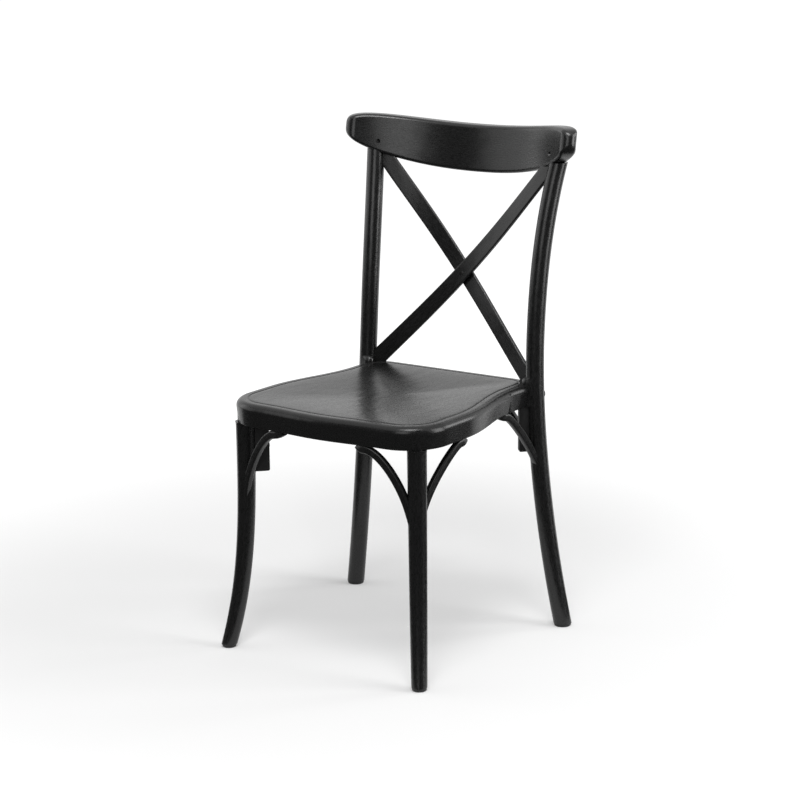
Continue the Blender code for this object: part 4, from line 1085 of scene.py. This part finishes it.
def screw_skin(head_top, axis, length, head_radius):
    """Head and shank. Over the head the height is dome x (1 - r^2), less the recess inside the
    cross; the recess fades out over a tenth of the head's radius."""
    head_height = head_radius * HEAD_HEIGHT
    r = np.linspace(0.03, 1, 26)
    around = np.linspace(0, 2 * math.pi, 72, endpoint=False)
    px, py = r[:, None] * np.cos(around), r[:, None] * np.sin(around)
    arm_one = np.maximum(np.abs(px) - RECESS_ARM, np.abs(py) - RECESS_WIDTH)
    arm_two = np.maximum(np.abs(py) - RECESS_ARM, np.abs(px) - RECESS_WIDTH)
    inside = np.clip(0.5 - np.minimum(arm_one, arm_two) / RECESS_FADE, 0, 1)
    dome = head_height * DOME_SHARE
    depth = dome * r[:, None] ** 2 + inside * head_height * RECESS_DEPTH
    rest_along = np.array([head_height, head_height, length * POINT_START, length])
    rest_radius = np.array([1.0, SHANK_SHARE, SHANK_SHARE, SHANK_SHARE * POINT_SHARE])
    along = np.vstack([depth, np.broadcast_to(rest_along[:, None], (4, len(around)))])
    radius = head_radius * np.concatenate([r, rest_radius])[:, None]
    side = unit(np.cross(axis, (1.0, 0.0, 0.0) if abs(axis[2]) > 0.9 else (0.0, 0.0, 1.0)))
    other = np.cross(axis, side)
    spokes = np.cos(around)[:, None] * side + np.sin(around)[:, None] * other
    grid = head_top + along[..., None] * axis + radius[..., None] * spokes[None]
    place = np.dstack([radius * np.cos(around), radius * np.sin(around), along])
    return skin(grid, place)


black_steel = steel("blackened_steel")
for node, (head_top, axis, length, head_radius) in screws.items():
    mesh = mesh_of(f"turned_{node}", [screw_skin(head_top, axis, length, head_radius)], crease=30)
    piece(f"turned_{node}", mesh, black_steel, node)
print("screw faces:", len(mesh.polygons))

# %% [markdown]
# ## Pockets and the finished crest
#
# The moulder leaves a round pocket for each screw that enters a visible face, so that the head
# lies below it. A pocket is cut with a Boolean, by a cylinder on the measured screw's own axis,
# so screw and pocket always agree. The crest can be finished now, as its screws are known.

# %% Crest piece
POCKET_DEPTH = 0.6
POCKET_GAP = 0.0003
POCKET_RUN_OUT = 0.01


def pocket(node):
    """The round pocket over a screw's head, running out of the surface."""
    head_top, axis, _, head_radius = screws[node]
    radius = head_radius + POCKET_GAP
    profile = [(-POCKET_RUN_OUT, radius), (head_radius * POCKET_DEPTH, radius)]
    return helper("pocket", [turned(profile, columns=40, start=head_top, direction=axis)])


crest_mesh = mesh_of("bent_crest_rail", [crest_skin()])
crest_mesh = carve("bent_crest_rail", crest_mesh, [pocket("crest_screw_left"), pocket("crest_screw_right")])
piece("bent_crest_rail", crest_mesh, frame_resin, "crest_rail")
print("crest faces:", len(crest_mesh.polygons))

# %% [markdown]
# ## Crossed slats
#
# Two flat slats cross behind the sitter, each from one seat corner to the far end of the crest.
# Both lie in one bowed sheet between the posts, the front one a little in front of it and the
# rear one behind, so they pass at the crossing and still meet the posts in the middle. A slat is
# the rounded section carried along a line in the sheet, pushed out along the sheet's normal. The
# line sags a little, sag x 4 s (1 - s), and the slat grows wider towards the seat, where its end
# is cut off.

# %% Slats
SLAT_LOW_WIDTH, SLAT_TOP_WIDTH = 0.0303, 0.0259
SLAT_THICKNESS = 0.007
SLAT_EDGE = 0.0018
SLAT_LOW = SEAT_HEIGHT - 0.015
SLAT_TOP = CREST_BASE + 0.0166
SLAT_SAG = 0.0107
SLAT_LOW_BOW, SLAT_TOP_BOW = 0.0272, 0.0443
SLAT_BOW_REACH = 0.188
CROSSING_GAP = 0.0012
low_x, top_x = rear_leg_line(SLAT_LOW)[0], rear_leg_line(SLAT_TOP)[0]


def slat_sheet(x, z, layer):
    """Depth of the bowed sheet: the post's line plus bow x (1 - (x / reach)^2)^1.5, and half a
    slat in front or behind, which fades out towards the posts as 1 - share^4. The bow grows
    evenly from the seat to the crest."""
    share = np.minimum(np.abs(x) / top_x, 1)
    apart = (SLAT_THICKNESS + CROSSING_GAP) / 2 * (1 - share**4)
    deepest = SLAT_LOW_BOW + (SLAT_TOP_BOW - SLAT_LOW_BOW) * (z - SLAT_LOW) / (SLAT_TOP - SLAT_LOW)
    bow = deepest * np.maximum(1 - (x / SLAT_BOW_REACH) ** 2, 0) ** 1.5
    return rear_leg_line(z)[..., 1] + bow + layer * apart


def slat_skin(layer, mirror):
    """The section carried from the low left end to the high right end; mirror swaps the sides."""
    start, stop = np.array([-low_x, SLAT_LOW]), np.array([top_x, SLAT_TOP])
    along = unit(stop - start)
    across = np.array([along[1], -along[0]])
    inset = POST_RADIUS / 2 / (top_x + low_x)
    shares = np.linspace(inset, 1 - inset, 160)
    middle = start + shares[:, None] * (stop - start)
    x, z = middle[:, 0], middle[:, 1] - SLAT_SAG * 4 * shares * (1 - shares)
    step = 0.001
    slope_x = slat_sheet(x + step, z, layer) - slat_sheet(x - step, z, layer)
    slope_z = slat_sheet(x, z + step, layer) - slat_sheet(x, z - step, layer)
    out = unit(np.column_stack([-slope_x, np.full(len(x), 2 * step), -slope_z]))
    half_wide = (SLAT_LOW_WIDTH + (SLAT_TOP_WIDTH - SLAT_LOW_WIDTH) * shares[:, None]) / 2
    pattern = section_pattern(round_steps=6, wide_steps=10, tall_steps=3)
    wide, thick = section(pattern, half_wide, SLAT_THICKNESS / 2, SLAT_EDGE)
    px = x[:, None] + wide * across[0]
    pz = z[:, None] + wide * across[1]
    grid = np.dstack([px, slat_sheet(px, pz, layer), pz]) + thick[None, :, None] * out[:, None]
    run = np.broadcast_to(shares[:, None] * np.linalg.norm(stop - start), px.shape)
    place = np.dstack([wide, np.broadcast_to(thick, px.shape), run])
    return skin(grid * (mirror, 1, 1), place + (0, layer * 0.1, 0))


def seat_block():
    """The seat's outer form without its hollow, to trim the slats' low ends."""
    grid = np.concatenate([top_rings, edge_rings])
    return helper("seat_block", [skin(grid, grid)])


for name, layer, mirror in (("front", -1, 1), ("rear", 1, -1)):
    slat_mesh = mesh_of(f"bowed_slat_{name}", [slat_skin(layer, mirror)])
    cutters = [seat_block()] + ([pocket("crossing_screw")] if name == "front" else [])
    slat_mesh = carve(f"bowed_slat_{name}", slat_mesh, cutters)
    piece(f"bowed_slat_{name}", slat_mesh, frame_resin, f"cross_slat_{name}")
    print(name, "slat faces:", len(slat_mesh.polygons))

# %% [markdown]
# ## Arch braces
#
# Eight slim braces spring from the legs and arrive level under the skirt, two on each leg. On the
# real chair they stiffen the legs and echo the hoops of old bentwood chairs. A brace's middle is
# a cubic Bezier curve with four control points: inside the leg, further up the leg, level with
# the skirt, and under it. The rounded section follows it, always facing the curve's own bend.
# Its foot sinks into the leg, so it ends in a tail, and its top runs on behind the skirt's wall.

# %% Braces
BRACE_THICKNESS = 0.0135
BRACE_WIDTH = 0.0115
BRACE_EDGE = 0.0034
BRACE_FOOT_STEP = 0.001
BRACE_SKIRT_INSET = 0.0085
SKIRT_OVERLAP = 0.0002
TAIL_SINK = 0.003
TAIL_SHARE = 0.22
HIDDEN_RUN, HIDDEN_DRIFT, HIDDEN_RISE = 0.014, 0.0055, 0.006
# reach along the edge, drop, pull along the leg, pull along the seat, turn of the foot in degrees
BRACES = {
    ("front", "forward"): (0.090, 0.134, 0.046, 0.033, 38.0),
    ("front", "back"): (0.094, 0.126, 0.041, 0.012, 15.0),
    ("rear", "forward"): (0.082, 0.103, 0.014, 0.016, 8.0),
    ("rear", "back"): (0.082, 0.103, 0.014, 0.016, -8.0),
}


def leg_at(row, z):
    """Middle of the right leg of a row at a height."""
    return front_leg_line(z) if row == "front" else rear_leg_line(z)


def leg_radius_at(row, z):
    """Radius of a row's legs at a height."""
    return front_leg_radius(z) if row == "front" else POST_RADIUS


def brace_end(row, way, reach):
    """Plan point under the skirt at one reach from the leg, along the seat's edge."""
    half = plan[: OUTLINE_POINTS // 2 + 1] - BRACE_SKIRT_INSET * plan_out[: OUTLINE_POINTS // 2 + 1]
    away = np.hypot(*(half - leg_at(row, SKIRT_BOTTOM)).T)
    nearest = int(np.argmin(away))
    part = slice(nearest, None, -1) if way == "forward" else slice(nearest, None)
    half, away = half[part], away[part]
    rising = np.maximum.accumulate(away)
    return np.array([np.interp(reach, rising, half[:, k]) for k in (0, 1)])


def brace_skin(row, way, side):
    """The Bezier curve (1-t)^3 a + 3 (1-t)^2 t b + 3 (1-t) t^2 c + t^3 d, with the section square
    to it and one side level. Behind the skirt it goes on as run x s, with drift and rise x s^2."""
    reach, drop, leg_pull, seat_pull, turn = BRACES[row, way]
    end = brace_end(row, way, reach)
    foot_z = SKIRT_BOTTOM - drop
    toward = unit(end - leg_at(row, SKIRT_BOTTOM))
    cosine, sine = math.cos(math.radians(turn)), math.sin(math.radians(turn))
    facing = np.array([[cosine, -sine], [sine, cosine]]) @ toward
    off = (leg_radius_at(row, foot_z) + BRACE_FOOT_STEP - BRACE_THICKNESS / 2) * facing
    foot = np.array([*(leg_at(row, foot_z) + off), foot_z])
    lower = np.array([*(leg_at(row, foot_z + leg_pull) + off), foot_z + leg_pull])
    top = np.array([*end, SKIRT_BOTTOM - BRACE_THICKNESS / 2 + SKIRT_OVERLAP])
    heading = unit((top - foot)[:2])
    upper = top - seat_pull * np.array([*heading, 0])
    t = np.linspace(0, 1, 90)[:, None]
    line = (1 - t) ** 3 * foot + 3 * (1 - t) ** 2 * t * lower + 3 * (1 - t) * t**2 * upper + t**3 * top
    sink = TAIL_SINK * np.maximum(1 - t / TAIL_SHARE, 0) ** 2
    line = line - sink * np.array([*facing, 0])
    inward = np.array([-heading[1], heading[0]])
    inward *= -np.sign(inward @ end)
    s = np.linspace(0, 1, 13)[1:, None]
    hidden = s * HIDDEN_RUN * np.array([*heading, 0]) + s**2 * (*(HIDDEN_DRIFT * inward), HIDDEN_RISE)
    line = np.vstack([line, top + hidden])
    across = np.array([-heading[1], heading[0], 0])
    up = unit(np.cross(across, np.gradient(line, axis=0)))
    pattern = section_pattern(round_steps=6, wide_steps=3, tall_steps=3)
    thick, wide = section(pattern, BRACE_THICKNESS / 2, BRACE_WIDTH / 2, BRACE_EDGE)
    grid = line[:, None] + thick[None, :, None] * up[:, None] + wide[None, :, None] * across
    along = np.concatenate([[0], np.cumsum(np.linalg.norm(np.diff(line, axis=0), axis=1))])
    flat = np.broadcast_to(np.column_stack([thick, wide])[None], (*grid.shape[:2], 2))
    place = np.dstack([flat, np.broadcast_to(along[:, None], grid.shape[:2])])
    return skin(grid * (side, 1, 1), place)


WAYS = {"front": {"front": "forward", "side": "back"}, "rear": {"side": "forward", "rear": "back"}}
for row, ways in WAYS.items():
    for edge, way in ways.items():
        for name, side in SIDES.items():
            node = f"{row}_{edge}_brace_{name}" if row != edge else f"{row}_brace_{name}"
            brace_mesh = mesh_of(f"arched_{node}", [brace_skin(row, way, side)])
            piece(f"arched_{node}", brace_mesh, frame_resin, node)
print("braces: 8, each", len(brace_mesh.polygons), "faces")

# %% [markdown]
# ## Stacking lugs
#
# An upright fin behind each leg rests on the chair below when chairs are stacked, and keeps the
# seats from scratching. It is a rounded rectangle in the fin's own plane. It is repeated across
# the thickness, drawn in a little at both faces so that the edges are round.

# %% Lugs
LUG_THICKNESS = 0.012
LUG_CORNER = 0.0032
LUG_EDGE = 0.0012
LUG_SIZES = {"front": (0.040, 0.089), "rear": (0.031, 0.082)}


def lug_skin(row, side):
    """Rings across the thickness: the outline drawn in by edge x (1 - sin a) at depth edge x cos a."""
    reach, height = LUG_SIZES[row]
    x, y = leg_at(row, SKIRT_BOTTOM)
    into = np.array([-side, 1.0 if row == "front" else -1.0]) * math.sqrt(0.5)
    across = np.array([-into[1], into[0]])
    start = leg_radius_at(row, SKIRT_BOTTOM) / 2
    bend = arc(0, 90, 6)
    wide = np.concatenate([-LUG_THICKNESS / 2 + LUG_EDGE * (1 - np.cos(bend)), [0]])
    drawn = np.concatenate([LUG_EDGE * (1 - np.sin(bend)), [0]])
    wide, drawn = np.concatenate([wide, -wide[-2::-1]]), np.concatenate([drawn, drawn[-2::-1]])
    half_long = (reach - start) / 2 - drawn[:, None]
    half_tall = (height + LUG_EDGE) / 2 - drawn[:, None]
    pattern = section_pattern(round_steps=6, wide_steps=4, tall_steps=8)
    along, up = section(pattern, half_long, half_tall, LUG_CORNER - drawn[:, None])
    plane = np.array([side * x, y]) + (start + (reach - start) / 2 + along)[..., None] * into
    plane = plane + wide[:, None, None] * across
    z = SKIRT_BOTTOM + LUG_EDGE / 2 - height / 2 + up
    grid = np.dstack([plane, z])
    return skin(grid, np.dstack([along, np.broadcast_to(wide[:, None], up.shape), up]))


for row in LUG_SIZES:
    for name, side in SIDES.items():
        lug_mesh = mesh_of(f"lug_fin_{row}_{name}", [lug_skin(row, side)])
        piece(f"lug_fin_{row}_{name}", lug_mesh, lug_resin, f"stacking_lug_{row}_{name}")
print("lugs: 4")

# %% [markdown]
# ## Foot glides
#
# Each leg ends in a push-in glide of harder resin that spares the floor. It is a turned disc with
# a rounded tread and a shadow gap to the leg above.

# %% Glides
GLIDE_STEP_IN = 0.001
TREAD_HEIGHT, TREAD_ROUNDING = 0.0018, 0.0022
GLIDE_TOP, GLIDE_CHAMFER = 0.0047, 0.0003
STEM_TOP = 0.012
STEM_RADIUS, STEM_TIP_RADIUS = 0.0036, 0.0034


def glide_profile(radius):
    """Height and radius from the tread, a quarter ellipse, up to the rim and over to the stem."""
    tread = arc(-90, 0, 8)
    drawn_in = TREAD_ROUNDING * (1 - np.cos(tread))
    curve = np.column_stack([TREAD_HEIGHT * (1 + np.sin(tread)), radius - drawn_in])
    rim = [(GLIDE_TOP - GLIDE_CHAMFER, radius), (GLIDE_TOP, radius - GLIDE_CHAMFER)]
    stem = [(GLIDE_TOP, STEM_RADIUS), (STEM_TOP, STEM_TIP_RADIUS)]
    return np.vstack([curve, rim, stem])


for row in WAYS:
    for name, side in SIDES.items():
        x, y = leg_at(row, FOOT_HEIGHT)
        profile = glide_profile(float(leg_radius_at(row, 0)) - GLIDE_STEP_IN)
        disc = turned(profile, columns=64, start=(side * x, y, 0))
        glide_mesh = mesh_of(f"glide_disc_{row}_{name}", [disc])
        piece(f"glide_disc_{row}_{name}", glide_mesh, glide_resin, f"foot_glide_{row}_{name}")
print("glides: 4, triangles in all:", total_triangles)
